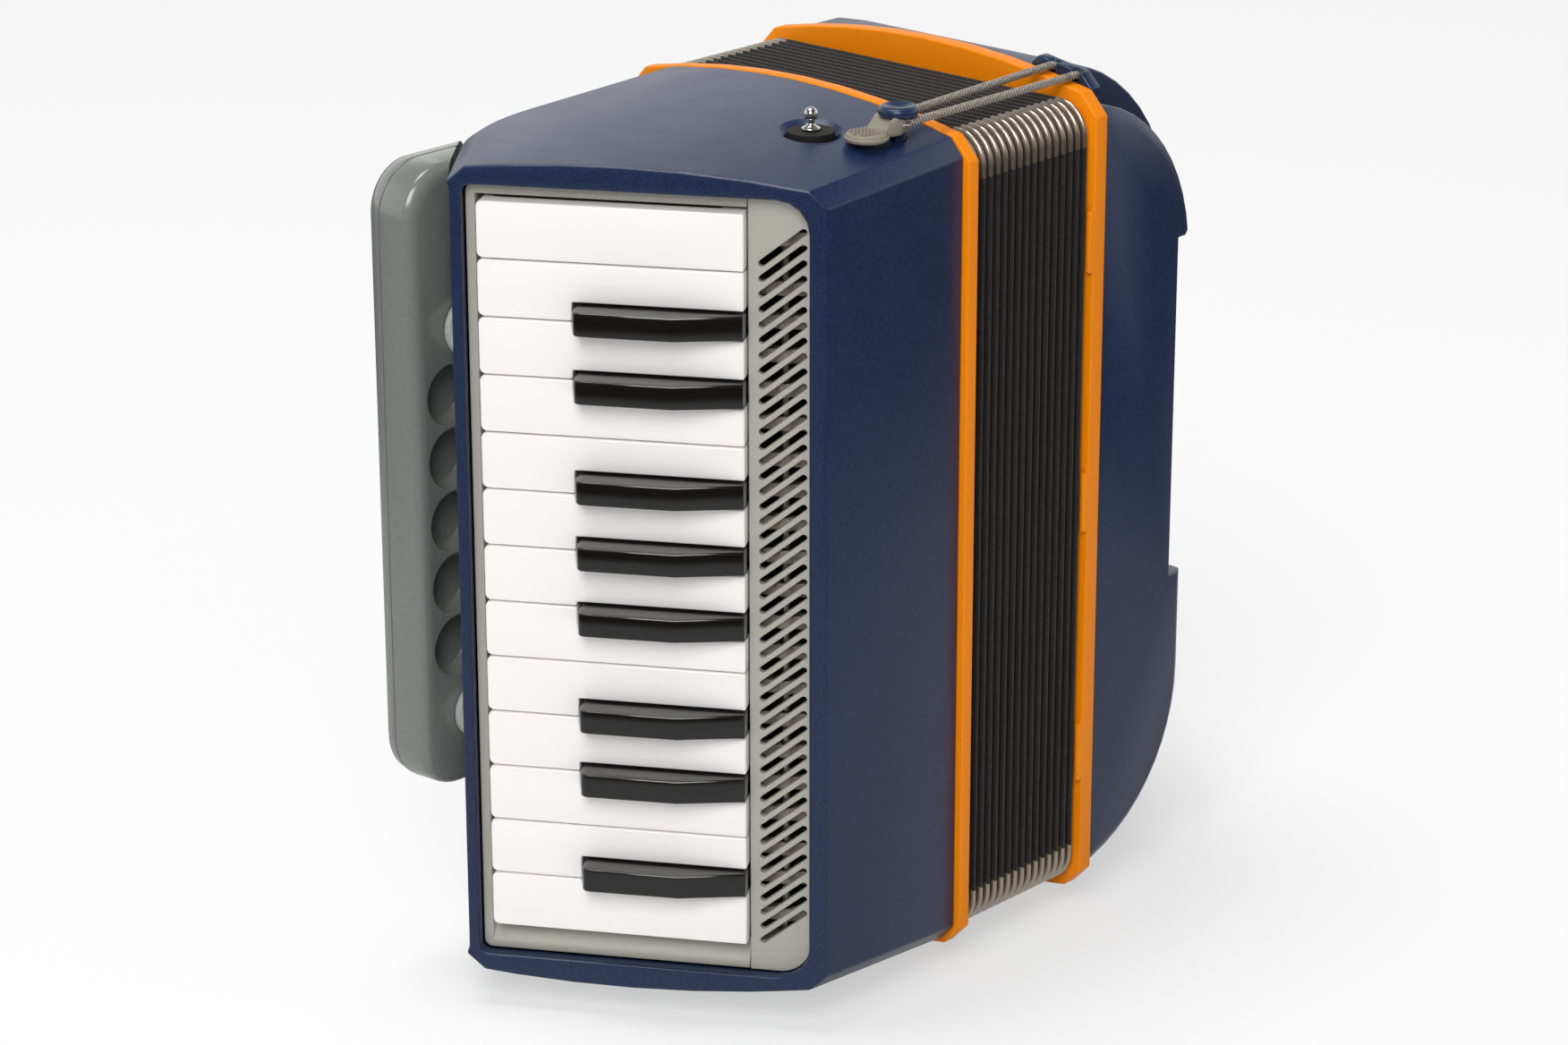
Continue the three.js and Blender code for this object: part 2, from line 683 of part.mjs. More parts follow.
function bassFlange() {
  const lugs = LUG_Z_SHARES.map((share) => {
    const z = share * FLANGE_HALF_HEIGHT;
    return solid(
      block(
        BASS_FLANGE_X - LUG_HEIGHT,
        BASS_FLANGE_X + LUG_HEIGHT,
        -FLANGE_OVERHANG,
        -FLANGE_OVERHANG + LUG_THICKNESS,
        z - LUG_LENGTH / 2,
        z + LUG_LENGTH / 2,
      ),
    );
  });
  return join(flangePlate(BASS_FLANGE_X, BASS_FLANGE), ...lugs);
}

// The bellows seen along X: flat above and below, with rounded corners.
function bellowsOutline(drawnIn) {
  const front = drawnIn - FLANGE_OVERHANG;
  const back = CASING_DEPTH - front;
  const half = CASING_HALF_HEIGHT - BELLOWS_DROP - drawnIn;
  const radius = Math.max(BELLOWS_CORNER - drawnIn / 2, SPIGOT_WALL);
  return filleted(
    [
      [front, -half, radius],
      [back, -half, radius],
      [back, half, radius],
      [front, half, radius],
    ],
    BELLOWS_CORNER_STEPS,
  );
}

function bellowsBore() {
  return bellowsOutline(FOLD_INSET + FOLD_DEPTH + BELLOWS_WALL);
}

function bellows() {
  const pitch = BELLOWS_LENGTH / FOLD_COUNT;
  const ring = (outline, x) => outline.map((p) => new THREE.Vector3(x, p.x, p.y));
  const peak = bellowsOutline(FOLD_INSET);
  const valley = bellowsOutline(FOLD_INSET + FOLD_DEPTH);
  const bore = bellowsBore();
  const rings = [ring(valley, BELLOWS_X)];
  for (let i = 0; i < FOLD_COUNT; i++) {
    const x = BELLOWS_X + i * pitch;
    rings.push(ring(peak, x + pitch / 2), ring(valley, x + pitch));
  }
  const tunnel = loft([ring(bore, BELLOWS_X - OVERRUN), ring(bore, BELLOWS_X + BELLOWS_LENGTH + OVERRUN)]);
  return cut(solid(loft(rings)), solid(tunnel));
}

// Keyboard pieces are drawn square to the keyboard: X from the front corner to the tips, Y outwards.
const keysBottom = KEYS_BOTTOM_MARGIN - OPENING_HALF_HEIGHT;
const keysTop = keysBottom + WHITE_COUNT * KEY_PITCH;
const wellBottom = keysBottom - WELL_MARGIN;
const wellTop = keysTop + WELL_MARGIN;
const frameHalf = OPENING_HALF_HEIGHT - SEAT_GAP;
const armBottom = ARM_TOP_W - ARM_THICKNESS;
const keyBottom = -KEY_DROP - KEY_DEPTH;
const boardTop = -FRAME_DEPTH - SEAT_GAP;
const blackKeys = BLACK_SHIFT_SHARES.map(([below, share]) => ({
  below,
  z: keysBottom + (below + share) * KEY_PITCH,
}));

function keyboardFrame() {
  const outer = alongY(openingOutline(SEAT_GAP), -FRAME_DEPTH, -BEZEL_DROP);
  const armsEnd = KEY_START + SEAT_GAP * 3;
  const well = block(armsEnd - OVERRUN, WELL_END, -WELL_FLOOR, OVERRUN, wellBottom, wellTop);
  const passage = block(-OVERRUN, armsEnd, -FRAME_DEPTH - OVERRUN, OVERRUN, wellBottom, wellTop);
  const grilleSeat = block(
    -OVERRUN,
    GRILLE_END + SEAT_GAP,
    -BEZEL_DROP - GRILLE_THICKNESS - SEAT_GAP,
    OVERRUN,
    -OPENING_HALF_HEIGHT,
    OPENING_HALF_HEIGHT,
  );
  const underside = block(
    armsEnd + FRAME_SKIRT,
    WELL_END,
    -FRAME_DEPTH - OVERRUN,
    -WELL_FLOOR - FRAME_FLOOR,
    wellBottom,
    wellTop,
  );
  const ledge = alongX(
    [
      new THREE.Vector2(-BEZEL_DROP - LEDGE_FALL, wellBottom),
      new THREE.Vector2(OVERRUN, wellBottom),
      new THREE.Vector2(OVERRUN, wellBottom - LEDGE_RUN),
      new THREE.Vector2(-BEZEL_DROP, wellBottom - LEDGE_RUN),
    ].reverse(),
    GRILLE_END + SEAT_GAP,
    WELL_END,
  );
  const socket = alongZ(
    circle(AXLE_S, AXLE_W, AXLE_DIAMETER / 2 + AXLE_FIT, FOOT_STEPS),
    wellBottom - AXLE_SOCKET,
    frameHalf + OVERRUN,
  );
  return cut(
    solid(outer),
    solid(well),
    solid(passage),
    solid(grilleSeat),
    solid(underside),
    solid(ledge),
    solid(socket),
  );
}

function grillePanel() {
  const half = frameHalf;
  const start = OPENING_START + SEAT_GAP;
  const radius = OPENING_FRONT_RADIUS - SEAT_GAP;
  const outline = filleted([
    [-half, start, radius],
    [half, start, radius],
    [half, GRILLE_END, 0],
    [-half, GRILLE_END, 0],
  ]);
  const turn = THREE.MathUtils.degToRad(SLOT_DEGREES);
  const slotCount = 1 + Math.floor((2 * (half - SLOT_MARGIN)) / SLOT_PITCH);
  const slots = Array.from({ length: slotCount }, (_, i) => {
    const z = (i - (slotCount - 1) / 2) * SLOT_PITCH;
    return slotOutline(z, SLOT_CENTRE_S, Math.PI / 2 + turn);
  });
  return alongY(outline, -BEZEL_DROP - GRILLE_THICKNESS, -BEZEL_DROP, slots);
}

// A slot with round ends about (z, s), its length turned by an angle.
function slotOutline(z, s, turn) {
  const radius = SLOT_WIDTH / 2;
  const reach = SLOT_LENGTH / 2 - radius;
  const points = [];
  for (const end of [1, -1]) {
    for (let k = 0; k <= SLOT_STEPS; k++) {
      const angle = -Math.PI / 2 + (Math.PI * k) / SLOT_STEPS;
      points.push(
        new THREE.Vector2(end * (reach + radius * Math.cos(angle)), end * radius * Math.sin(angle))
          .rotateAround(new THREE.Vector2(), turn)
          .add(new THREE.Vector2(z, s)),
      );
    }
  }
  return points;
}

// The arm of a key: a bar with an eye for the axle, a post behind it and the pallet on the soundboard.
function keyArm(z) {
  const eye = AXLE_DIAMETER / 2 + AXLE_FIT;
  const boss = eye + BOSS_WALL;
  const boardSide = boardTop + SEAT_GAP;
  const outline = [
    new THREE.Vector2(KEY_START + ARM_OVERLAP, armBottom),
    new THREE.Vector2(KEY_START + ARM_OVERLAP, keyBottom + SEAT_GAP),
    new THREE.Vector2(KEY_START + SEAT_GAP, ARM_TOP_W),
    new THREE.Vector2(AXLE_S + boss, ARM_TOP_W),
    new THREE.Vector2(AXLE_S + boss / 2, AXLE_W + boss),
    new THREE.Vector2(AXLE_S - boss / 2, AXLE_W + boss),
    new THREE.Vector2(AXLE_S - boss, ARM_TOP_W),
    new THREE.Vector2(ARM_END, ARM_TOP_W),
    new THREE.Vector2(ARM_END, boardSide + PALLET_THICKNESS - SEAT_GAP),
    new THREE.Vector2(ARM_END + ARM_POST, boardSide + PALLET_THICKNESS - SEAT_GAP),
    new THREE.Vector2(ARM_END + ARM_POST, armBottom),
  ];
  const hole = circle(AXLE_S, AXLE_W, eye, EYE_STEPS);
  const bar = alongZ(outline, z - ARM_WIDTH / 2, z + ARM_WIDTH / 2, [hole]);
  const pallet = block(
    PALLET_START,
    PALLET_START + PALLET_LENGTH,
    boardSide,
    boardSide + PALLET_THICKNESS,
    z - PALLET_WIDTH / 2,
    z + PALLET_WIDTH / 2,
  );
  return join(solid(bar), solid(pallet));
}

// The height span of a white key, at its tip and between the black keys.
function whiteSpan(number) {
  const bottom = keysBottom + (number - 1) * KEY_PITCH + KEY_GAP / 2;
  const top = keysBottom + number * KEY_PITCH - KEY_GAP / 2;
  const under = blackKeys.find(({ below }) => below === number - 1);
  const over = blackKeys.find(({ below }) => below === number);
  const rearBottom = under ? under.z + BLACK_SLOT / 2 : bottom;
  const rearTop = over ? over.z - BLACK_SLOT / 2 : top;
  return { bottom, top, rearBottom, rearTop, arm: (rearBottom + rearTop) / 2 };
}

function whiteKey(number) {
  const { bottom, top, rearBottom, rearTop, arm } = whiteSpan(number);
  const corners = [[rearBottom, KEY_START, 0]];
  corners.push([rearTop, KEY_START, 0]);
  if (rearTop !== top) corners.push([rearTop, BLACK_SLOT_END, 0], [top, BLACK_SLOT_END, 0]);
  corners.push([top, WHITE_TIP, TIP_RADIUS], [bottom, WHITE_TIP, TIP_RADIUS]);
  if (rearBottom !== bottom) corners.push([bottom, BLACK_SLOT_END, 0], [rearBottom, BLACK_SLOT_END, 0]);
  const plate = alongY(filleted(corners, TIP_STEPS), keyBottom, -KEY_DROP);
  // Behind its front lip the key is thinner underneath.
  const relief = block(
    KEY_START + ARM_OVERLAP,
    WHITE_TIP - LIP_THICKNESS,
    keyBottom - OVERRUN,
    keyBottom + KEY_RELIEF,
    bottom - OVERRUN,
    top + OVERRUN,
  );
  return join(cut(solid(plate), solid(relief)), keyArm(arm));
}

function blackKey(z) {
  const profile = filleted(
    [
      [KEY_START, keyBottom, 0],
      [BLACK_TIP, keyBottom, 0],
      [BLACK_TIP - BLACK_TIP_LEAN, BLACK_TIP_W, BLACK_TIP_RADIUS],
      [BLACK_RIDGE_S, BLACK_RIDGE_W, 0],
      [KEY_START, BLACK_BACK_W, 0],
    ],
    BLACK_TIP_STEPS,
  );
  const halfWidth = (w) => THREE.MathUtils.mapLinear(w, keyBottom, BLACK_RIDGE_W, BLACK_BASE, BLACK_TOP) / 2;
  const face = (side) => profile.map((p) => new THREE.Vector3(p.x, p.y, z + side * halfWidth(p.y)));
  return join(solid(loft([face(-1), face(1)])), keyArm(z));
}

const armPlaces = [
  ...Array.from({ length: WHITE_COUNT }, (_, i) => whiteSpan(i + 1).arm),
  ...blackKeys.map(({ z }) => z),
];

function keyAxle() {
  const from = wellBottom - AXLE_SOCKET + SEAT_GAP;
  return alongZ(circle(AXLE_S, AXLE_W, AXLE_DIAMETER / 2, PIN_STEPS), from, frameHalf - SEAT_GAP);
}

// A spring strip on the floor of the frame, with a finger under each arm.
function keySpringComb() {
  const base = -WELL_FLOOR + SEAT_GAP;
  const stripStart = KEY_START + SPRING_MARGIN;
  const strip = block(
    stripStart,
    stripStart + SPRING_STRIP,
    base,
    base + SPRING_GAUGE,
    wellBottom + SPRING_MARGIN,
    wellTop - SPRING_MARGIN,
  );
  const tipW = armBottom - SPRING_CLEARANCE;
  const finger = [
    new THREE.Vector2(stripStart + SPRING_GAUGE * 2, base),
    new THREE.Vector2(stripStart + SPRING_GAUGE * 2, base + SPRING_GAUGE),
    new THREE.Vector2(SPRING_TIP_S, tipW),
    new THREE.Vector2(SPRING_TIP_S, tipW - SPRING_GAUGE),
    new THREE.Vector2(stripStart, base),
  ];
  const fingers = armPlaces.map((z) =>
    solid(alongZ(finger, z - SPRING_FINGER / 2, z + SPRING_FINGER / 2)),
  );
  return join(solid(strip), ...fingers);
}

function toneHoles() {
  const start = PALLET_START + (PALLET_LENGTH - TONE_HOLE_LENGTH) / 2;
  return armPlaces.map((z) =>
    rectangle(z - TONE_HOLE_WIDTH / 2, start, z + TONE_HOLE_WIDTH / 2, start + TONE_HOLE_LENGTH),
  );
}

function trebleSoundboard() {
  const end = KEY_START + BOARD_REACH + FRAME_SKIRT;
  const half = frameHalf - BOARD_INSET;
  const outline = rectangle(-half, BOARD_START, half, end);
  const holes = toneHoles().map((hole) =>
    solid(alongY(hole, boardTop - BOARD_THICKNESS - OVERRUN, boardTop + OVERRUN)),
  );
  return cut(solid(alongY(outline, boardTop - BOARD_THICKNESS, boardTop)), ...holes);
}

// A tapered wooden block behind the soundboard with a chamber behind each tone hole.
function trebleReedBlock() {
  const start = PALLET_START + (PALLET_LENGTH - TONE_HOLE_LENGTH) / 2 - REED_BLOCK_WALL;
  const end = start + TONE_HOLE_LENGTH + REED_BLOCK_WALL * 2;
  const top = boardTop - BOARD_THICKNESS - SEAT_GAP;
  const margin = TONE_HOLE_WIDTH / 2 + REED_BLOCK_WALL;
  const profile = [
    new THREE.Vector2(start + REED_BLOCK_TAPER, top - REED_BLOCK_DEPTH),
    new THREE.Vector2(end - REED_BLOCK_TAPER, top - REED_BLOCK_DEPTH),
    new THREE.Vector2(end, top),
    new THREE.Vector2(start, top),
  ];
  const body = alongZ(profile, Math.min(...armPlaces) - margin, Math.max(...armPlaces) + margin);
  const chambers = toneHoles().map((hole) =>
    solid(alongY(hole, top - REED_BLOCK_DEPTH + REED_BLOCK_TAPER * 2, top + OVERRUN)),
  );
  return cut(solid(body), ...chambers);
}

// A bass profile seen from the front in (z, x): two quarter rounds joined by a straight side.
function bassProfile(radius, centreX, centreZ, from, drawnIn) {
  const r = radius - drawnIn;
  const points = [];
  const first = Math.asin((from - centreX) / r);
  for (const side of [-1, 1]) {
    for (let i = 0; i <= SHELL_ARC_STEPS; i++) {
      const share = side < 0 ? i / SHELL_ARC_STEPS : 1 - i / SHELL_ARC_STEPS;
      const angle = THREE.MathUtils.lerp(first, Math.PI / 2, share);
      points.push(
        new THREE.Vector2(side * (centreZ + r * Math.cos(angle)), centreX + r * Math.sin(angle)),
      );
    }
  }
  return points.reverse();
}

const bassRing = (profile, y) => profile.map((p) => new THREE.Vector3(p.y, y, p.x));

const buttonPlaces = Array.from({ length: BUTTON_ROWS * BUTTONS_PER_ROW }, (_, i) => ({
  y: FIRST_ROW_Y + Math.floor(i / BUTTONS_PER_ROW) * BUTTON_ROW_PITCH,
  z: FIRST_BUTTON_Z + (i % BUTTONS_PER_ROW) * BUTTON_PITCH,
}));

function bassCasing() {
  const front = COVER_DEPTH + SEAT_GAP;
  const back = CASING_DEPTH;
  const ring = (drawnIn, y) =>
    bassRing(bassProfile(SHELL_RADIUS, SHELL_CENTRE_X, SHELL_CENTRE_Z, BASS_X, drawnIn), y);
  const round = loft([ring(0, front), ring(0, back - SHELL_BEVEL), ring(SHELL_BEVEL, back)]);
  const crown = crownBlock(crownOutline({}), BASS_X, SHELL_OUTER_X + OVERRUN);
  const inner = bassProfile(SHELL_RADIUS, SHELL_CENTRE_X, SHELL_CENTRE_Z, BASS_X - OVERRUN, CASING_WALL);
  const hollowRound = loft([bassRing(inner, front + CASING_WALL), bassRing(inner, back - CASING_WALL)]);
  const hollowCrown = crownBlock(
    crownOutline({ drawnIn: CASING_WALL }),
    BASS_X - OVERRUN,
    SHELL_OUTER_X,
  );
  const fieldWalls = block(
    FIELD_X - CASING_WALL,
    SHELL_OUTER_X + OVERRUN,
    0,
    FIELD_END_Y + CASING_WALL,
    FIELD_BOTTOM_Z - CASING_WALL,
    FIELD_TOP_Z + CASING_WALL,
  );
  const field = block(FIELD_X, SHELL_OUTER_X + OVERRUN, 0, FIELD_END_Y, FIELD_BOTTOM_Z, FIELD_TOP_Z);
  const hollow = cut(solid(hollowRound).intersect(solid(hollowCrown)), solid(fieldWalls));
  const holes = buttonPlaces.map(({ y, z }) => buttonHole(y, z, BUTTON_DIAMETER));
  const slots = [1, -1].map((side) =>
    solid(
      block(
        SHELL_OUTER_X - CASING_WALL - OVERRUN,
        SHELL_OUTER_X + OVERRUN,
        STRAP_CENTRE_Y - STRAP_WIDTH / 2 - STRAP_FIT,
        STRAP_CENTRE_Y + STRAP_WIDTH / 2 + STRAP_FIT,
        side * STRAP_HALF_SPAN - STRAP_THICKNESS / 2 - STRAP_FIT,
        side * STRAP_HALF_SPAN + STRAP_THICKNESS / 2 + STRAP_FIT,
      ),
    ),
  );
  return cut(
    solid(round).intersect(solid(crown)),
    hollow,
    solid(field),
    ...holes,
    buttonHole(AIR_BUTTON_Y, AIR_BUTTON_Z, AIR_BUTTON_DIAMETER),
    ...slots,
  );
}

function buttonHole(y, z, diameter) {
  return solid(
    alongX(
      circle(y, z, diameter / 2 + BUTTON_FIT, BUTTON_STEPS),
      FIELD_X - CASING_WALL - OVERRUN,
      FIELD_X + OVERRUN,
    ),
  );
}

function bassFrontCover() {
  const ring = (drawnIn, y) =>
    bassRing(bassProfile(COVER_RADIUS, COVER_CENTRE_X, COVER_CENTRE_Z, BASS_X, drawnIn), y);
  const outer = loft([ring(COVER_BEVEL, 0), ring(0, COVER_BEVEL_DEPTH), ring(0, COVER_DEPTH)]);
  const inner = bassProfile(COVER_RADIUS, COVER_CENTRE_X, COVER_CENTRE_Z, BASS_X - OVERRUN, COVER_BEVEL);
  const hollow = loft([
    bassRing(inner, COVER_BEVEL_DEPTH + CASING_WALL),
    bassRing(inner, COVER_DEPTH + OVERRUN),
  ]);
  const fieldX = COVER_CENTRE_X + COVER_RADIUS - COVER_FIELD_DEPTH;
  const field = block(
    fieldX,
    fieldX + COVER_FIELD_DEPTH + OVERRUN,
    -OVERRUN,
    COVER_DEPTH + OVERRUN,
    FIELD_BOTTOM_Z,
    FIELD_TOP_Z,
  );
  const walls = block(
    fieldX - CASING_WALL,
    fieldX + COVER_FIELD_DEPTH + OVERRUN,
    -OVERRUN,
    COVER_DEPTH + OVERRUN * 2,
    FIELD_BOTTOM_Z - CASING_WALL,
    FIELD_TOP_Z + CASING_WALL,
  );
  return cut(solid(outer), cut(solid(hollow), solid(walls)), solid(field));
}

// A push button whose collar stops it inside the floor of the button field.
function pushButton(diameter) {
  const radius = diameter / 2;
  const collarTop = -CASING_WALL - SEAT_GAP;
  const collarBottom = collarTop - BUTTON_COLLAR_LENGTH;
  const profile = [
    [0, collarBottom - BUTTON_STEM],
    [BUTTON_STEM_DIAMETER / 2, collarBottom - BUTTON_STEM],
    [BUTTON_STEM_DIAMETER / 2, collarBottom],
    [radius + BUTTON_COLLAR, collarBottom],
    [radius + BUTTON_COLLAR, collarTop],
    [radius, collarTop],
    [radius, BUTTON_PROUD - BUTTON_EDGE],
    [radius - BUTTON_EDGE, BUTTON_PROUD],
    [0, BUTTON_PROUD],
  ];
  return turned(profile, BUTTON_STEPS).applyMatrix4(axesAlongX);
}

function bassSoundboard() {
  const x = BASS_X + BASS_BOARD_DEPTH;
  const half = BASS_BOARD_HALF_HEIGHT;
  const front = COVER_DEPTH + CASING_WALL + SEAT_GAP * 2;
  const back = CASING_DEPTH - CASING_WALL - SEAT_GAP;
  const plate = rectangle(front, -half, back, half);
  const holes = bassTones().map((hole) => solid(alongX(hole, x - OVERRUN, x + BOARD_THICKNESS + OVERRUN)));
  return cut(solid(alongX(plate, x, x + BOARD_THICKNESS)), ...holes);
}

function bassTones() {
  const pitch = (BASS_BLOCK_HALF_HEIGHT * 2) / BASS_CHAMBER_COUNT;
  return Array.from({ length: BASS_CHAMBER_COUNT }, (_, i) => {
    const z = (i + 1 / 2) * pitch - BASS_BLOCK_HALF_HEIGHT;
    return rectangle(
      MIDDLE_Y - TONE_HOLE_LENGTH / 2,
      z - TONE_HOLE_WIDTH / 2,
      MIDDLE_Y + TONE_HOLE_LENGTH / 2,
      z + TONE_HOLE_WIDTH / 2,
    );
  });
}

function bassReedBlock() {
  const face = BASS_X + BASS_BOARD_DEPTH - SEAT_GAP;
  const width = BASS_BLOCK_WIDTH / 2;
  const half = BASS_BLOCK_HALF_HEIGHT + REED_BLOCK_WALL;
  const outline = (narrowing) =>
    rectangle(MIDDLE_Y - width + narrowing, -half, MIDDLE_Y + width - narrowing, half);
  const ring = (points, x) => points.map((p) => new THREE.Vector3(x, p.x, p.y));
  const body = loft([ring(outline(REED_BLOCK_TAPER), face - BASS_BLOCK_DEPTH), ring(outline(0), face)]);
  const chambers = bassTones().map((hole) =>
    solid(alongX(hole, face - BASS_BLOCK_DEPTH + REED_BLOCK_TAPER, face + OVERRUN)),
  );
  return cut(solid(body), ...chambers);
}

// A strap that comes out of one slot of the bass casing, bows over the hand and goes into the other.
function handStrap() {
  const face = SHELL_OUTER_X + STRAP_THICKNESS / 2;
  const centre = [[-STRAP_TUCK - STRAP_THICKNESS / 2, STRAP_HALF_SPAN]];
  for (let i = 0; i <= STRAP_STEPS; i++) {
    const angle = (Math.PI * i) / STRAP_STEPS;
    centre.push([
      STRAP_THICKNESS + (STRAP_BOW - STRAP_THICKNESS / 2) * Math.sin(angle),
      STRAP_HALF_SPAN * Math.cos(angle),
    ]);
  }
  centre.push([-STRAP_TUCK - STRAP_THICKNESS / 2, -STRAP_HALF_SPAN]);
  const line = centre.map(([out, z]) => new THREE.Vector2(z, face + out - STRAP_THICKNESS));
  const side = (offset) =>
    line.map((p, i) => {
      const before = line[Math.max(i - 1, 0)];
      const after = line[Math.min(i + 1, line.length - 1)];
      const along = after.clone().sub(before).normalize();
      return new THREE.Vector2(p.x - along.y * offset, p.y + along.x * offset);
    });
  const outline = [...side(STRAP_THICKNESS / 2), ...side(-STRAP_THICKNESS / 2).reverse()];
  return alongY(outline, STRAP_CENTRE_Y - STRAP_WIDTH / 2, STRAP_CENTRE_Y + STRAP_WIDTH / 2);
}

function studBase() {
  const radius = STUD_BASE_DIAMETER / 2;
  const bore = STUD_STEM_DIAMETER / 2 + SEAT_GAP;
  const hole = circle(0, 0, bore, PIN_STEPS);
  return alongZ(circle(0, 0, radius, DIMPLE_STEPS), 0, STUD_BASE_HEIGHT, [hole]);
}

function ballStud() {
  const stem = STUD_STEM_DIAMETER / 2;
  const ball = STUD_BALL_DIAMETER / 2;
  const ballCentre = POCKET_DEPTH + STUD_BALL_RISE;
  const footBottom = STUD_BASE_HEIGHT + SEAT_GAP * 2;
  const profile = [
    [0, SEAT_GAP],
    [stem, SEAT_GAP],
    [stem, footBottom],
    [STUD_FOOT_DIAMETER / 2, footBottom],
    [STUD_FOOT_DIAMETER / 2, footBottom + STUD_FOOT_HEIGHT],
    [stem, footBottom + STUD_FOOT_HEIGHT * 2],
  ];
  const start = Math.asin(stem / ball);
  for (let k = 0; k <= BALL_STEPS; k++) {
    const angle = THREE.MathUtils.lerp(start, Math.PI, k / BALL_STEPS);
    profile.push([k === BALL_STEPS ? 0 : ball * Math.sin(angle), ballCentre - ball * Math.cos(angle)]);
  }
  return turned(profile, BUTTON_STEPS);
}

// The closure button: a rivet head inside, a stem through the casing and a dished cap.
function closureButton() {
  const stem = CLOSURE_STEM_DIAMETER / 2;
  const rivet = CLOSURE_RIVET_DIAMETER / 2;
  const cap = CAP_DIAMETER / 2;
  const rivetTop = -CASING_WALL - CLOSURE_RIVET_DROP;
  const capBottom = CORD_RISE_AT_STEM + CORD_DIAMETER / 2 + SEAT_GAP;
  const profile = [
    [0, rivetTop - CLOSURE_RIVET_HEIGHT],
    [rivet, rivetTop - CLOSURE_RIVET_HEIGHT],
    [rivet, rivetTop],
    [stem, rivetTop],
    [stem, capBottom],
    [cap - CAP_DISH, capBottom],
    [cap, capBottom + CAP_DISH],
    [cap, capBottom + CAP_HEIGHT - CAP_DISH],
    [cap - CAP_DISH, capBottom + CAP_HEIGHT],
    [cap / 2, capBottom + CAP_HEIGHT - CAP_DISH / 2],
    [0, capBottom + CAP_HEIGHT - CAP_DISH],
  ];
  return turned(profile, DIMPLE_STEPS);
}

// The pull tab: a round grip, a neck and an eye that hooks over the closure's stem.
function pullTab() {
  const disc = alongZ(circle(TAB_REACH, 0, TAB_DIAMETER / 2, DIMPLE_STEPS), 0, TAB_THICKNESS);
  const neck = alongZ(
    [
      new THREE.Vector2(0, -TAB_NECK / 2),
      new THREE.Vector2(TAB_REACH, -TAB_NECK * 2 / 3),
      new THREE.Vector2(TAB_REACH, TAB_NECK * 2 / 3),
      new THREE.Vector2(0, TAB_NECK / 2),
    ],
    0,
    TAB_EYE_THICKNESS,
  );
  const eye = alongZ(circle(0, 0, TAB_EYE_DIAMETER / 2, FOOT_STEPS), 0, TAB_EYE_THICKNESS);
  const hole = alongZ(
    circle(0, 0, CLOSURE_STEM_DIAMETER / 2 + SEAT_GAP, FOOT_STEPS),
    -OVERRUN,
    TAB_THICKNESS + OVERRUN,
  );
  return cut(join(solid(disc), solid(neck), solid(eye)), solid(hole));
}

const closureSurface = topOfTreble(CLOSURE_X, CLOSURE_Y);
const closureCordZ = closureSurface + CORD_RISE_AT_STEM;
const cordSeat = CORD_DIAMETER / 2 + SEAT_GAP;
const rearRunZ = crownHeight(REAR_RUN_Y, FLANGE_HALF_HEIGHT) + cordSeat * CORD_SEAT_SHARE;
const frontRunZ = crownHeight(FRONT_RUN_Y, FLANGE_HALF_HEIGHT) + cordSeat * CORD_SEAT_SHARE;

// The elastic cord: from the bracket over the flange, round the stem and back.
function elasticCord() {
  const end = BASS_X + BRACKET_NOTCH - SEAT_GAP * 2;
  const around = CLOSURE_STEM_DIAMETER / 2 + cordSeat + CORD_LOOP_SLACK;
  const points = [
    new THREE.Vector3(end, REAR_RUN_Y, rearRunZ - CORD_DIP),
    new THREE.Vector3(BASS_X, REAR_RUN_Y, rearRunZ),
    new THREE.Vector3(BASS_FLANGE_X, REAR_RUN_Y, rearRunZ),
  ];
  for (let k = 1; k < CORD_RUN_STEPS; k++) {
    const share = k / CORD_RUN_STEPS;
    points.push(
      new THREE.Vector3(
        THREE.MathUtils.lerp(BASS_FLANGE_X, CLOSURE_X, share),
        THREE.MathUtils.lerp(REAR_RUN_Y, CLOSURE_Y + around, share),
        THREE.MathUtils.lerp(rearRunZ, closureCordZ, share),
      ),
    );
  }
  for (let k = 0; k <= CORD_LOOP_STEPS; k++) {
    const angle = Math.PI / 2 + (Math.PI * k) / CORD_LOOP_STEPS;
    points.push(
      new THREE.Vector3(
        CLOSURE_X + around * Math.cos(angle),
        CLOSURE_Y + around * Math.sin(angle),
        closureCordZ,
      ),
    );
  }
  for (let k = CORD_RUN_STEPS - 1; k > 0; k--) {
    const share = k / CORD_RUN_STEPS;
    points.push(
      new THREE.Vector3(
        THREE.MathUtils.lerp(BASS_FLANGE_X, CLOSURE_X, share),
        THREE.MathUtils.lerp(FRONT_RUN_Y, CLOSURE_Y - around, share),
        THREE.MathUtils.lerp(frontRunZ, closureCordZ, share),
      ),
    );
  }
  points.push(new THREE.Vector3(BASS_FLANGE_X, FRONT_RUN_Y, frontRunZ));
  points.push(new THREE.Vector3(BASS_X, FRONT_RUN_Y, frontRunZ));
  points.push(new THREE.Vector3(end, FRONT_RUN_Y, frontRunZ - CORD_DIP));
  const route = new THREE.CatmullRomCurve3(points, false, "centripetal");
  const section = new THREE.Shape(circle(0, 0, CORD_DIAMETER / 2, CORD_SIDES));
  return new THREE.ExtrudeGeometry(section, {
    steps: points.length * 2,
    bevelEnabled: false,
    extrudePath: route,
  });
}

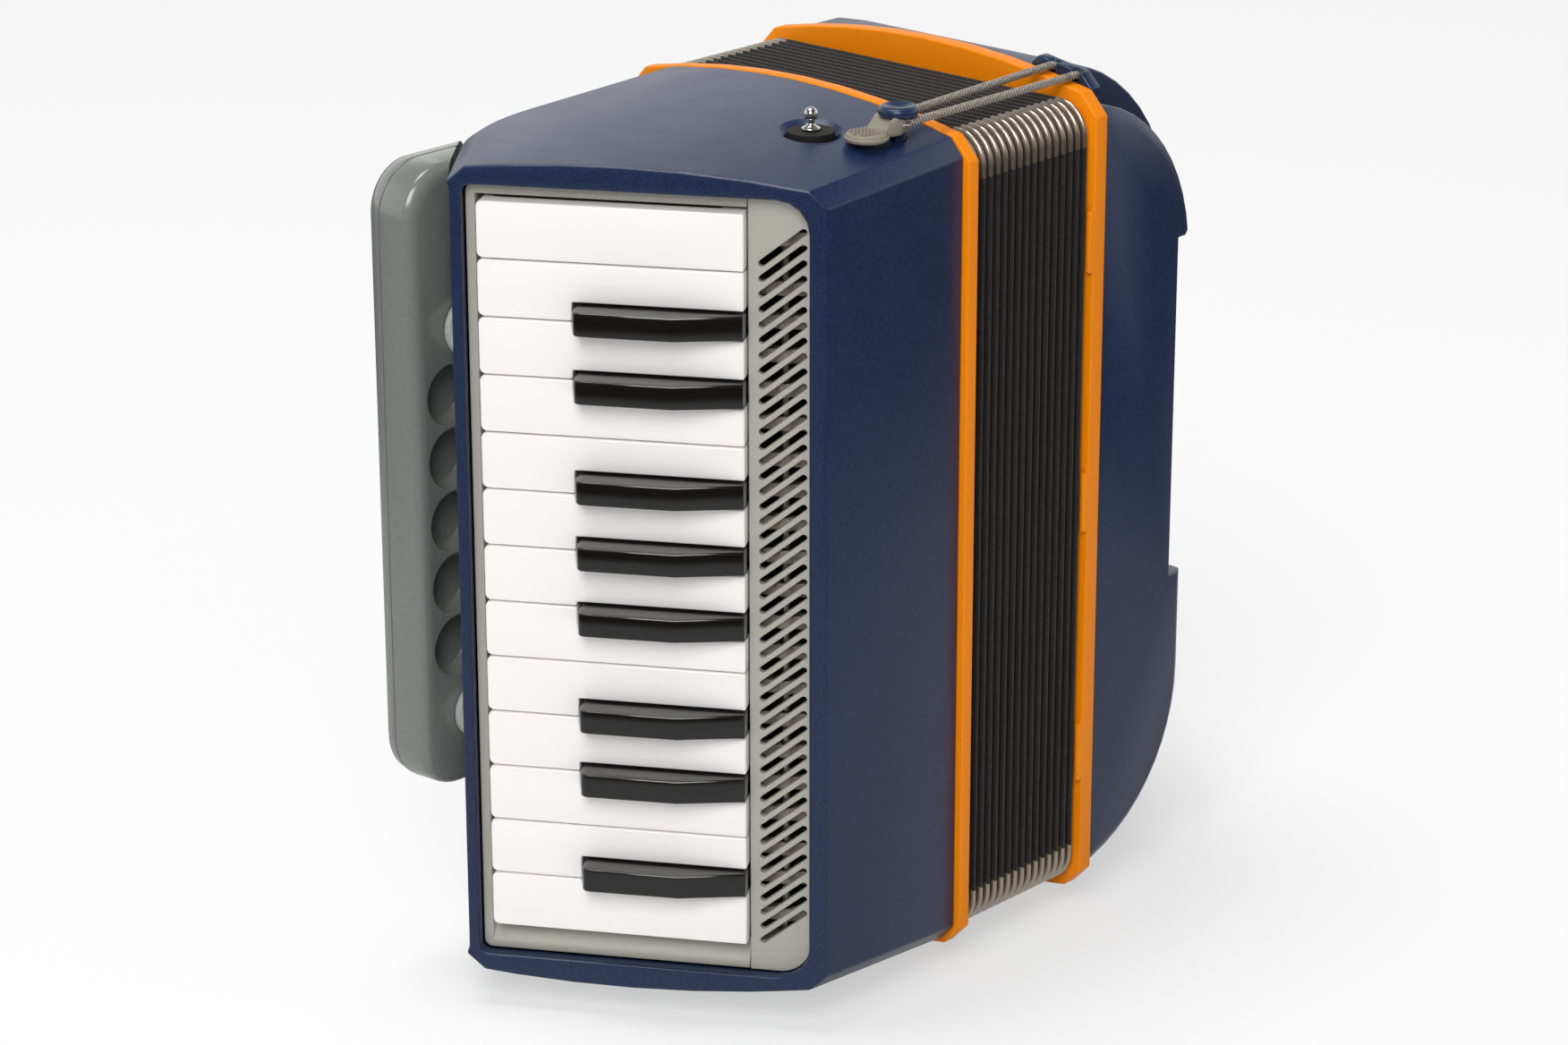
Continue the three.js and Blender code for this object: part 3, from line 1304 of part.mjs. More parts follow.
// The bracket on the bass side, with a notch for each run of the cord.
function cordBracket() {
  const crest = (y) => crownHeight(y, FLANGE_HALF_HEIGHT) + BRACKET_RISE;
  const shellTop = (y) => crownHeight(y, CASING_HALF_HEIGHT) + SEAT_GAP;
  const coverTop = COVER_CENTRE_Z + COVER_RADIUS + SEAT_GAP;
  const slopeY = BRACKET_FRONT_Y + BRACKET_END_SLOPE;
  const roundY = BRACKET_BACK_Y - BRACKET_END_ROUND;
  const outline = [
    new THREE.Vector2(BRACKET_FRONT_Y, coverTop),
    new THREE.Vector2(COVER_DEPTH, coverTop),
    new THREE.Vector2(COVER_DEPTH, shellTop(COVER_DEPTH)),
    new THREE.Vector2(BRACKET_BACK_Y, shellTop(BRACKET_BACK_Y)),
    new THREE.Vector2(BRACKET_BACK_Y, crest(BRACKET_BACK_Y) - BRACKET_END_ROUND),
    new THREE.Vector2(roundY, crest(roundY)),
    new THREE.Vector2(slopeY, crest(slopeY)),
    new THREE.Vector2(BRACKET_FRONT_Y, crest(slopeY) - BRACKET_END_SLOPE),
  ];
  const notches = [
    [REAR_RUN_Y, rearRunZ - CORD_DIP],
    [FRONT_RUN_Y, frontRunZ - CORD_DIP],
  ].map(([y, z]) => {
    const section = [
      ...circle(y, z, cordSeat, DIMPLE_STEPS).slice(DIMPLE_STEPS / 2),
      new THREE.Vector2(y + cordSeat, z),
      new THREE.Vector2(y + cordSeat, z + BRACKET_RISE * 2),
      new THREE.Vector2(y - cordSeat, z + BRACKET_RISE * 2),
    ];
    return solid(alongX(section, BASS_X - OVERRUN, BASS_X + BRACKET_NOTCH));
  });
  return cut(solid(alongX(outline, BASS_X, BASS_X + BRACKET_LENGTH)), ...notches);
}

// The body rest: a panel with rounded edges beside the slanted wall, in two moulded halves.
function restBody(from, to) {
  // Each section lies some way behind the front face and is drawn in at its outer side and its ends.
  const sections = [];
  for (let k = 0; k < REST_ROUND_STEPS; k++) {
    const angle = (Math.PI * k) / (2 * REST_ROUND_STEPS);
    const drawnIn = REST_FRONT_ROUND * (1 - Math.sin(angle));
    sections.push([REST_FRONT_ROUND * (1 - Math.cos(angle)), drawnIn, drawnIn]);
  }
  for (let k = 0; k <= REST_ROUND_STEPS; k++) {
    const angle = (Math.PI * k) / (2 * REST_ROUND_STEPS);
    const drawnIn = REST_BACK_ROUND * (1 - Math.cos(angle));
    const back = REST_DEPTH - REST_COVER_DEPTH * (1 - Math.sin(angle));
    sections.push([back, drawnIn, drawnIn * REST_END_SHARE]);
  }
  const rings = sections.map(([back, side, end]) => {
    const radius = REST_CORNER - side / 2;
    const outline = filleted([
      [REST_BOTTOM_Z + end, REST_OUTER_X + side, radius],
      [REST_TOP_Z - end, REST_OUTER_X + side, radius],
      [REST_TOP_Z - end, 0, 0],
      [REST_BOTTOM_Z + end, 0, 0],
    ]);
    return outline.map((p) => new THREE.Vector3(p.y, REST_FRONT_Y + back, p.x));
  });
  const beside = block(
    -KEYBOARD_FACE,
    KEYBOARD_FACE,
    REST_WALL_GAP,
    KEYBOARD_FACE,
    -CASING_HALF_HEIGHT,
    CASING_HALF_HEIGHT,
  ).applyMatrix4(sideMatrix);
  const slab = block(REST_OUTER_X - OVERRUN, 0, from, to, -CASING_HALF_HEIGHT, CASING_HALF_HEIGHT);
  return solid(loft(rings)).intersect(solid(beside)).intersect(solid(slab));
}

function bodyRestShell() {
  const dimples = Array.from({ length: DIMPLE_COUNT }, (_, i) =>
    solid(
      alongY(
        circle(
          REST_TOP_Z - DIMPLE_TOP_DROP - i * DIMPLE_PITCH,
          REST_OUTER_X + DIMPLE_INSET,
          DIMPLE_DIAMETER / 2,
          DIMPLE_STEPS,
        ),
        REST_FRONT_Y - OVERRUN,
        REST_FRONT_Y + DIMPLE_DEPTH,
      ),
    ),
  );
  const bolts = postHeights.map((z) =>
    solid(boltAt(z, POST_BOLT_DIAMETER / 2 + SEAT_GAP, POST_BOLT_REACH + SEAT_GAP)),
  );
  return cut(restBody(REST_FRONT_Y - OVERRUN, REST_SEAM_Y - SEAT_GAP / 2), ...dimples, ...bolts);
}

const bodyRestCover = () => restBody(REST_SEAM_Y + SEAT_GAP / 2, REST_BACK_Y + OVERRUN);

// A post between the slanted wall and the rest, proud of the rest's front face, with a bolt through both.
function restPost(height) {
  const bar = alongY(
    circle(height, POST_X, POST_DIAMETER / 2, DIMPLE_STEPS),
    tip.y,
    REST_SEAM_Y,
  );
  const beside = (from, to) => {
    const slab = block(-KEYBOARD_FACE, KEYBOARD_FACE, from, to, -CASING_HALF_HEIGHT, CASING_HALF_HEIGHT);
    return solid(slab.applyMatrix4(sideMatrix));
  };
  const wall = SEAT_GAP - SIDE_RECESS;
  const front = block(
    REST_OUTER_X,
    0,
    REST_FRONT_Y - POST_PROUD,
    REST_FRONT_Y - SEAT_GAP,
    -CASING_HALF_HEIGHT,
    CASING_HALF_HEIGHT,
  );
  const room = join(beside(wall, REST_WALL_GAP - SEAT_GAP), solid(front).intersect(beside(wall, REST_DEPTH)));
  return join(
    solid(bar).intersect(room),
    solid(boltAt(height, POST_BOLT_DIAMETER / 2, POST_BOLT_REACH)),
  );
}

// A tapered foot whose top follows the underside of what carries it.
function foot(x, y, underside) {
  const radius = FOOT_DIAMETER / 2;
  const height = FLANGE_HALF_HEIGHT / 4;
  const profile = [
    [0, 0],
    [radius - FOOT_TAPER, 0],
    [radius, FOOT_TAPER],
    [radius, height],
    [0, height],
  ];
  return solid(turned(profile, FOOT_STEPS).translate(x, y, FLOOR_Z)).subtract(underside);
}

const instrument = new THREE.Group();

// Treble side
add(instrument, "treble_casing", geometryOf(trebleCasing()), materials.navy);
add(instrument, "treble_flange", geometryOf(trebleFlange()), materials.orange);

const keyboard = new THREE.Group();
keyboard.rotation.z = keyboardTurn;
instrument.add(keyboard);
add(keyboard, "keyboard_frame", geometryOf(keyboardFrame()), materials.grille);
add(keyboard, "grille_panel", grillePanel(), materials.grille);
const numbered = (i) => String(i).padStart(2, "0");
for (let i = 1; i <= WHITE_COUNT; i++) {
  add(keyboard, `white_key_${numbered(i)}`, geometryOf(whiteKey(i)), materials.ivory);
}
blackKeys.forEach(({ z }, i) => {
  add(keyboard, `black_key_${numbered(i + 1)}`, geometryOf(blackKey(z)), materials.ebony);
});
add(keyboard, "key_axle", keyAxle(), materials.steel);
add(keyboard, "key_spring_comb", geometryOf(keySpringComb()), materials.steel);
add(keyboard, "treble_soundboard", geometryOf(trebleSoundboard()), materials.wood);
add(keyboard, "treble_reed_block", geometryOf(trebleReedBlock()), materials.wood);

// Fittings on top
const studFloor = topOfTreble(STUD_X, STUD_Y) - POCKET_DEPTH;
add(instrument, "stud_base", studBase(), materials.rubber).position.set(STUD_X, STUD_Y, studFloor + SEAT_GAP);
add(instrument, "ball_stud", ballStud(), materials.steel).position.set(STUD_X, STUD_Y, studFloor);
add(instrument, "closure_button", closureButton(), materials.navy).position.set(
  CLOSURE_X,
  CLOSURE_Y,
  closureSurface,
);
const tab = add(instrument, "pull_tab", geometryOf(pullTab()), materials.tab);
tab.position.set(CLOSURE_X, CLOSURE_Y, closureSurface + CLOSURE_FOOT_RISE);
tab.rotation.z = THREE.MathUtils.degToRad(TAB_DEGREES);
add(instrument, "elastic_cord", elasticCord(), materials.elastic);

// Body rest
add(instrument, "body_rest_shell", geometryOf(bodyRestShell()), materials.rest);
add(instrument, "body_rest_cover", geometryOf(bodyRestCover()), materials.rest);
const [upperPost, lowerPost] = postHeights.map((height) => geometryOf(restPost(height)));
add(instrument, "rest_post_upper", upperPost, materials.rest);
add(instrument, "rest_post_lower", lowerPost, materials.rest);

// Bellows and bass side
add(instrument, "bellows", geometryOf(bellows()), materials.bellows);
add(instrument, "bass_flange", geometryOf(bassFlange()), materials.orange);
add(instrument, "bass_casing", geometryOf(bassCasing()), materials.navy);
add(instrument, "bass_front_cover", geometryOf(bassFrontCover()), materials.navy);
add(instrument, "cord_bracket", geometryOf(cordBracket()), materials.navy);
buttonPlaces.forEach(({ y, z }, i) => {
  add(instrument, `bass_button_${i + 1}`, pushButton(BUTTON_DIAMETER), materials.ebony).position.set(
    FIELD_X,
    y,
    z,
  );
});
add(instrument, "air_button", pushButton(AIR_BUTTON_DIAMETER), materials.ebony).position.set(
  FIELD_X,
  AIR_BUTTON_Y,
  AIR_BUTTON_Z,
);
add(instrument, "hand_strap", handStrap(), materials.strap);
add(instrument, "bass_soundboard", geometryOf(bassSoundboard()), materials.wood);
add(instrument, "bass_reed_block", geometryOf(bassReedBlock()), materials.wood);

// Feet
const trebleUnderside = solid(
  crownBlock(crownOutline({ overhang: SEAT_GAP }), tip.x - OVERRUN, TREBLE_WIDTH, draft),
);
const bassRound = bassProfile(SHELL_RADIUS, SHELL_CENTRE_X, SHELL_CENTRE_Z, BASS_X, -SEAT_GAP);
const bassUnderside = solid(loft([bassRing(bassRound, 0), bassRing(bassRound, CASING_DEPTH)])).intersect(
  solid(crownBlock(crownOutline({ overhang: SEAT_GAP }), BASS_X, SHELL_OUTER_X + OVERRUN)),
);
const bassFootX = BASS_X + BASS_FOOT_INSET;
const footBackY = CASING_DEPTH - FOOT_FROM_BACK;
const feet = [
  ["treble_foot_front", TREBLE_FOOT_X, FOOT_FRONT_Y, trebleUnderside],
  ["treble_foot_back", TREBLE_FOOT_X, footBackY, trebleUnderside],
  ["bass_foot_front", bassFootX, FOOT_FRONT_Y, bassUnderside],
  ["bass_foot_back", bassFootX, footBackY, bassUnderside],
];
for (const [name, x, y, underside] of feet) {
  add(instrument, name, geometryOf(foot(x, y, underside)), materials.rubber);
}

// The whole stands on the middle of its footprint.
const accordion = new THREE.Group();
accordion.add(instrument);
accordion.updateMatrixWorld(true);
const bounds = new THREE.Box3().setFromObject(accordion, true);
instrument.position.set(
  -(bounds.min.x + bounds.max.x) / 2,
  -(bounds.min.y + bounds.max.y) / 2,
  -bounds.min.z,
);

export default accordion;
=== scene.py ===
"""A piano accordion on a white floor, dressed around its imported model.

Lengths are millimetres unless a name says otherwise. Places are given about the front edge between the
keyboard and the front panel, at mid-height.
"""

import json
from itertools import product
from math import acos, asin, copysign, cos, hypot, pi, radians, sin, sqrt, tan

import bmesh
import bpy
from mathutils import Matrix, Vector, geometry, noise

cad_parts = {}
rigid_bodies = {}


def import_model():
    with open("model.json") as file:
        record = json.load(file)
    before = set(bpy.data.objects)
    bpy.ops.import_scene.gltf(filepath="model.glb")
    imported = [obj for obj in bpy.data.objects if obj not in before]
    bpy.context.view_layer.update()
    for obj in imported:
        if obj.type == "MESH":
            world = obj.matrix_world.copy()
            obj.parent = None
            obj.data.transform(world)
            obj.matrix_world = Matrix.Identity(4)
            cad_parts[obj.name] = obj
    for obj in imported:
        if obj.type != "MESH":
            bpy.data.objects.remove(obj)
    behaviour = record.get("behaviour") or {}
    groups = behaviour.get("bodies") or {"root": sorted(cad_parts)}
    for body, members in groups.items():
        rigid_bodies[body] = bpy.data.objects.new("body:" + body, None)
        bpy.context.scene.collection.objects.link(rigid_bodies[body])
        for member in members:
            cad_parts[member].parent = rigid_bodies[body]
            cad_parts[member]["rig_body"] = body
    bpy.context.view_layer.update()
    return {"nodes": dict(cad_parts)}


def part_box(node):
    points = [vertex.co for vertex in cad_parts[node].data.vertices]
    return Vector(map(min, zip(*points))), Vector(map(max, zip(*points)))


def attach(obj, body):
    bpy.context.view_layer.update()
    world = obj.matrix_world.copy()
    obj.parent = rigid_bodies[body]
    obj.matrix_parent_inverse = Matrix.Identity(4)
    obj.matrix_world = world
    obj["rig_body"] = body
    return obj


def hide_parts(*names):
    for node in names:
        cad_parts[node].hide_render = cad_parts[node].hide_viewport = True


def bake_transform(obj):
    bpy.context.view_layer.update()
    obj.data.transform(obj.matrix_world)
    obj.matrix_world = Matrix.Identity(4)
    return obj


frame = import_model()
nodes = frame["nodes"]
MM = 0.001

# Where the pieces are drawn from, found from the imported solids
BELLOWS_X = 65.8
FLANGE_OVERHANG = 2.1
bellows_low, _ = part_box("bellows")
flange_low, flange_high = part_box("bass_flange")
middle_z = (flange_low.z + flange_high.z) / 2
origin = Vector((bellows_low.x - BELLOWS_X * MM, flange_low.y + FLANGE_OVERHANG * MM, middle_z))

# Sizes that the dressed pieces share with the solids
CASING_DEPTH = (flange_high.y - flange_low.y) / MM - 2 * FLANGE_OVERHANG
CASING_HALF_HEIGHT = 138.3
FLANGE_HALF_HEIGHT = CASING_HALF_HEIGHT + FLANGE_OVERHANG
CROWN_RADIUS = 300.0
DRAFT_SHARE = 0.064
TREBLE_WIDTH = 60.6
BELLOWS_LENGTH = 55.2
BELLOWS_END_X = BELLOWS_X + BELLOWS_LENGTH
BELLOWS_DROP = 4.9
BELLOWS_CORNER = 12.0
FOLD_COUNT = 16
FOLD_PITCH = BELLOWS_LENGTH / FOLD_COUNT
FOLD_INSET = 2.2
FOLD_DEPTH = 7.0
FLANGE_SEAM = 0.3
FLANGE_THICKNESS = 5.9
BASS_FLANGE_X = BELLOWS_END_X + FLANGE_SEAM
BASS_X = BASS_FLANGE_X + FLANGE_THICKNESS
KEYBOARD_TURN = radians(90.0 + 31.15)
KEYBOARD_ALONG = Vector((cos(KEYBOARD_TURN), sin(KEYBOARD_TURN), 0))
KEYBOARD_INWARD = Vector((sin(KEYBOARD_TURN), -cos(KEYBOARD_TURN), 0))


def at(x, y, z):
    """A drawn place in millimetres as a place of the frame in metres."""
    return origin + Vector((x, y, z)) * MM


def drawn(place):
    """A place of the frame in metres as a drawn place in millimetres."""
    return (place - origin) / MM


def placed(name, data):
    """A new object of the scene."""
    thing = bpy.data.objects.new(name, data)
    bpy.context.scene.collection.objects.link(thing)
    return thing


def crown(y, half_height):
    """The height of a crowned top at a distance from the front."""
    return half_height - CROWN_RADIUS + sqrt(CROWN_RADIUS**2 - (y - CASING_DEPTH / 2) ** 2)


def top_height(x, y):
    """The height of the treble casing's top, which falls a little towards the player."""
    return crown(y, CASING_HALF_HEIGHT) * (1 - DRAFT_SHARE * (TREBLE_WIDTH - x) / CASING_HALF_HEIGHT)


def top_upright(x, y):
    """The direction square to the treble casing's top."""
    height = top_height(x, y)
    return Vector((height - top_height(x + 1, y), height - top_height(x, y + 1), 1)).normalized()


# Camera
CAMERA_PLACE = (-924.27, -829.58, 473.8)
CAMERA_RIGHT = Vector((0.67522, -0.73761, -0.00143))
CAMERA_UP = Vector((0.25096, 0.22790, 0.94079))
CAMERA_FORWARD = Vector((0.69361, 0.63560, -0.33899))
CAMERA_LENS = 102.28
CAMERA_SENSOR = 36.0
CAMERA_REACH_METRES = 30.0

camera_data = bpy.data.cameras.new("camera")
camera_data.sensor_fit = "HORIZONTAL"
camera_data.sensor_width = CAMERA_SENSOR
camera_data.lens = CAMERA_LENS
camera_data.clip_end = CAMERA_REACH_METRES
camera = placed("camera", camera_data)
turn = Matrix((CAMERA_RIGHT, CAMERA_UP, -CAMERA_FORWARD)).transposed()
camera.matrix_world = Matrix.Translation(at(*CAMERA_PLACE)) @ turn.to_4x4()
bpy.context.scene.camera = camera
bpy.context.scene.view_settings.view_transform = "Standard"

# Materials
WHITE = (1.0, 1.0, 1.0, 1.0)


def linear(red, green, blue):
    """A colour given as 0 to 255 in sRGB, as Blender's linear numbers."""

    def channel(value):
        value /= 255
        return value / 12.92 if value <= 0.04045 else ((value + 0.055) / 1.055) ** 2.4

    return (channel(red), channel(green), channel(blue), 1.0)


def toned(colour, factor, lift=0.0):
    """A colour made darker or lighter."""
    return tuple(min(c * factor + lift, 1.0) for c in colour[:3]) + (1.0,)


class Nodes:
    """A node tree with short calls that add to it. An input takes a value or another node's output."""

    def __init__(self, tree):
        self.tree = tree

    def feed(self, socket, value):
        if isinstance(value, bpy.types.NodeSocket):
            self.tree.links.new(value, socket)
        else:
            socket.default_value = value

    def add(self, kind, inputs, **settings):
        """A new node with its settings, and its inputs by name or number."""
        node = self.tree.nodes.new("ShaderNode" + kind)
        for name, value in settings.items():
            setattr(node, name, value)
        for name, value in inputs.items():
            self.feed(node.inputs[name], value)
        return node

    def math(self, operation, first, second):
        return self.add("Math", {0: first, 1: second}, operation=operation).outputs["Value"]

    def span(self, source, low, high, start=0.0, stop=1.0, curve="LINEAR"):
        """A factor mapped from start..stop to low..high."""
        ends = {"From Min": start, "From Max": stop, "To Min": low, "To Max": high}
        return self.add("MapRange", {"Value": source, **ends}, interpolation_type=curve).outputs["Result"]


class Look(Nodes):
    """A new material, with calls for the patterns that its shader is fed with."""

    def __init__(self, name):
        self.material = bpy.data.materials.new(name)
        self.material.use_nodes = True
        super().__init__(self.material.node_tree)
        self.place = self.add("TexCoord", {}).outputs["Object"]

    def stretched(self, scale):
        return self.add("Mapping", {"Vector": self.place, "Scale": scale}).outputs["Vector"]

    def noise(self, scale, detail=2.0, place=None):
        inputs = {"Vector": place or self.place, "Scale": scale, "Detail": detail}
        return self.add("TexNoise", inputs).outputs["Fac"]

    def wave(self, scale, direction, distortion=0.0, place=None):
        inputs = {"Vector": place or self.place, "Scale": scale, "Distortion": distortion}
        return self.add("TexWave", inputs, bands_direction=direction).outputs["Fac"]

    def voronoi(self, scale):
        return self.add("TexVoronoi", {"Vector": self.place, "Scale": scale}).outputs["Distance"]

    def attribute(self, name):
        return self.add("Attribute", {}, attribute_name=name).outputs["Fac"]

    def ramp(self, source, stops):
        """A colour ramp whose stops are (position, colour)."""
        node = self.add("ValToRGB", {"Fac": source})
        points = node.color_ramp.elements
        while len(points) < len(stops):
            points.new(0.5)
        for point, (position, colour) in zip(points, stops):
            point.position = position
            point.color = colour
        return node.outputs["Color"]

    def mix(self, factor, first, second):
        # The sockets for colours come after those for numbers and vectors.
        return self.add("Mix", {0: factor, 6: first, 7: second}, data_type="RGBA").outputs[2]

    def bump(self, height, depth, strength=1.0, under=None):
        """A relief of a depth in millimetres, over another one if that is given."""
        inputs = {"Height": height, "Distance": depth * MM, "Strength": strength}
        if under is not None:
            inputs["Normal"] = under
        return self.add("Bump", inputs).outputs["Normal"]

    def finished(self, colour, roughness, normal, **values):
        """The material, with its shader fed with these and with what else is named."""
        shader = self.tree.nodes["Principled BSDF"]
        values |= {"Base_Color": colour, "Roughness": roughness, "Normal": normal}
        for name, value in values.items():
            self.feed(shader.inputs[name.replace("_", " ")], value)
        return self.material


def speckled(name, colour, spread, roughness, specular, grain=1500.0, depth=0.03, coat=0.0):
    """A moulded or sprayed finish: fine grain in colour and height, broad patches in its gloss."""
    look = Look(name)
    fine = look.noise(grain, 3.0)
    dark = toned(colour, 1 - spread)
    light = toned(colour, 1 + spread, spread * 0.012)
    patches = look.span(look.noise(35.0), 0.0, 0.25)
    return look.finished(
        look.mix(patches, look.ramp(fine, [(0.35, dark), (0.66, light)]), light),
        look.span(look.noise(60.0, 4.0), roughness - 0.05, roughness + 0.07),
        look.bump(fine, depth),
        Specular_IOR_Level=specular,
        Coat_Weight=coat,
        Coat_Roughness=0.15,
    )


def key_plastic(name, colour, tint, roughness, coat):
    """A polished key: a warmer tint in patches, fine rubbing marks, and a brownish grey on its arm behind,
    partly the arm's own colour and partly painted shade from inside the casing.
    """
    look = Look(name)
    arm = look.attribute("arm")
    # The arm's grey is partly its own colour and partly painted shade from inside the casing.
    arm_colour_and_shade_stops = [(0.3, linear(112, 103, 92)), (0.7, linear(146, 137, 124))]
    head_colour = look.mix(look.noise(28.0, 3.0), colour, tint)
    rubbed = look.span(look.noise(60.0, 4.0), roughness - 0.01, roughness + 0.02)
    return look.finished(
        look.mix(arm, head_colour, look.ramp(look.noise(300.0, 3.0), arm_colour_and_shade_stops)),
        look.math("MAXIMUM", rubbed, look.span(arm, 0.0, 0.6)),
        look.bump(look.noise(420.0), 0.003),
        Coat_Weight=coat,
        Coat_Roughness=0.08,
    )


def metal(name, colour, roughness, grain):
    """A metal with a slightly uneven tone and fine level marks."""
    look = Look(name)
    marks = look.noise(grain, 3.0, look.stretched((1.0, 1.0, 4.0)))
    return look.finished(
        look.mix(look.noise(90.0, 3.0), colour, toned(colour, 0.82)),
        look.span(marks, roughness * 0.7, roughness * 1.5),
        look.bump(look.noise(grain), 0.004),
        Metallic=1.0,
    )


def bellows_cloth():
    """Black bookbinding cloth in the folds, with a smoother tape over each fold's edge."""
    look = Look("bellows_cloth")
    threads = 520.0
    weave = look.math("MULTIPLY", look.wave(threads, "Z"), look.wave(threads, "Y"))
    tape = look.attribute("tape")
    cloth = look.ramp(weave, [(0.1, linear(12, 10, 10)), (0.8, linear(34, 30, 29))])
    tape_colour = look.ramp(look.noise(900.0, 3.0), [(0.3, linear(24, 21, 20)), (0.7, linear(50, 45, 43))])
    return look.finished(
        look.mix(tape, cloth, tape_colour),
        look.span(tape, 0.85, 0.5),
        look.bump(weave, 0.12, 0.8, under=look.bump(look.noise(240.0, 3.0), 0.08)),
        Specular_IOR_Level=0.3,
        Sheen_Weight=0.12,
    )


def braid():
    """A silvery braid over the elastic: the strands' height is in the mesh, their threads in the bump. Its
    colour is painted shade in the gaps between strands and a painted highlight on their crests.
    """
    look = Look("elastic_braid")
    threads = look.noise(2600.0)
    strand_shade_and_highlight_stops = [(0.5, linear(40, 35, 30)), (0.8, linear(124, 114, 102)), (0.98, linear(232, 225, 212))]
    # The strands' height as colour: painted shade where it is low, a painted highlight where it is high.
    tone = look.ramp(look.attribute("strand"), strand_shade_and_highlight_stops)
    return look.finished(
        look.mix(look.span(threads, 0.0, 0.25), tone, linear(140, 130, 116)),
        look.span(threads, 0.32, 0.6),
        look.bump(threads, 0.06),
        Specular_IOR_Level=0.6,
        Sheen_Weight=0.2,
    )


def leather():
    """Black leather: small cells in its surface, broad patches in its colour."""
    look = Look("strap_leather")
    cells = look.voronoi(650.0)
    broad = look.noise(45.0, 4.0)
    return look.finished(
        look.mix(broad, linear(22, 20, 20), linear(40, 37, 35)),
        look.span(cells, 0.42, 0.68),
        look.bump(cells, 0.16, 0.7, under=look.bump(broad, 0.25)),
        Specular_IOR_Level=0.4,
    )


def thread():
    """A twisted grey sewing thread."""
    look = Look("strap_thread")
    twist = look.wave(900.0, "DIAGONAL")
    return look.finished(
        look.ramp(twist, [(0.2, linear(58, 55, 52)), (0.8, linear(98, 94, 88))]),
        look.span(twist, 0.6, 0.8),
        look.bump(twist, 0.05),
        Specular_IOR_Level=0.4,
    )


def wood(name, late, early):
    """A wood with upright rings, late growth and early growth in turn."""
    look = Look(name)
    rings = look.wave(26.0, "X", 5.0, look.stretched((1.0, 1.0, 0.15)))
    return look.finished(
        look.ramp(rings, [(0.15, late), (0.85, early)]),
        look.span(rings, 0.62, 0.75),
        look.bump(rings, 0.05),
        Specular_IOR_Level=0.3,
    )


navy = speckled("navy_moulding", linear(12, 35, 71), 0.4, 0.32, 0.55)
navy_smooth = speckled("navy_gloss", linear(24, 44, 74), 0.08, 0.26, 0.5, grain=900.0, depth=0.006)
orange = speckled("orange_moulding", linear(244, 138, 2), 0.04, 0.42, 0.22, grain=1100.0, depth=0.015)
grille_grey = speckled("grey_moulding", linear(173, 170, 161), 0.05, 0.5, 0.35, grain=1700.0, depth=0.02)
rest_grey = speckled("rest_gloss", linear(118, 122, 117), 0.05, 0.2, 0.5, grain=700.0, depth=0.004, coat=0.4)
post_grey = speckled("post_plastic", linear(176, 178, 172), 0.05, 0.45, 0.4)
tab_plastic = speckled("tab_rubber", linear(140, 134, 119), 0.1, 0.55, 0.3, grain=1800.0, depth=0.02)
black_rubber = speckled("black_rubber", linear(26, 25, 24), 0.3, 0.72, 0.3, grain=2200.0)
button_black = speckled("button_plastic", linear(20, 19, 19), 0.15, 0.25, 0.5, grain=1300.0, depth=0.006)
ivory = key_plastic("ivory_key", linear(250, 246, 244), linear(249, 244, 241), 0.26, 0.25)
ebony = key_plastic("ebony_key", linear(11, 9, 8), linear(17, 14, 12), 0.14, 0.5)
chrome = metal("chrome", linear(214, 212, 210), 0.1, 400.0)
nickel = metal("nickel_corner", linear(190, 181, 168), 0.3, 500.0)
steel = metal("steel_axle", linear(178, 176, 170), 0.3, 900.0)
wood_material = wood("reed_wood", linear(158, 116, 70), linear(206, 168, 118))
# Near-black wood for the treble soundboard: painted shade, so that the grille's slots look dark inside.
shade_dark_board = wood("board_darkened_as_shade", linear(24, 19, 16), linear(36, 30, 26))


# Mesh helpers
def piece_from(mesh, material, body=None, stands_for=(), smooth_degrees=38.0):
    """A finished mesh as a piece, with what it rides on and the solids that it stands for."""
    mesh.materials.clear()
    mesh.materials.append(material)
    mesh.shade_smooth()
    mesh.set_sharp_from_angle(angle=radians(smooth_degrees))
    piece = placed(mesh.name, mesh)
    if body:
        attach(piece, body)
    if stands_for:
        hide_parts(*stands_for)
    return piece


def body_of(node):
    return nodes[node]["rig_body"]


def mark(mesh, name, values):
    """Gives each point of a mesh a number that the material reads by its name."""
    mesh.attributes.new(name, "FLOAT", "POINT").data.foreach_set("value", values)


def mesh_from(name, points, faces):
    mesh = bpy.data.meshes.new(name)
    mesh.from_pydata([tuple(p) for p in points], [], faces)
    work = bmesh.new()
    work.from_mesh(mesh)
    bmesh.ops.recalc_face_normals(work, faces=work.faces)
    work.to_mesh(mesh)
    work.free()
    mesh.update()
    return mesh


def joined(name, meshes):
    """Several meshes as one."""
    work = bmesh.new()
    for mesh in meshes:
        work.from_mesh(mesh)
        bpy.data.meshes.remove(mesh)
    whole = bpy.data.meshes.new(name)
    work.to_mesh(whole)
    work.free()
    return whole


def carved(mesh, cutter):
    """A mesh with another cut out of it."""
    block = placed("block", mesh)
    tool = placed("cutter", cutter)
    cut = block.modifiers.new("cut", "BOOLEAN")
    cut.operation = "DIFFERENCE"
    cut.solver = "EXACT"
    cut.object = tool
    result = bpy.data.meshes.new_from_object(block.evaluated_get(bpy.context.evaluated_depsgraph_get()))
    for thing in (block, tool):
        bpy.data.objects.remove(thing)
    bpy.data.meshes.remove(cutter)
    return result


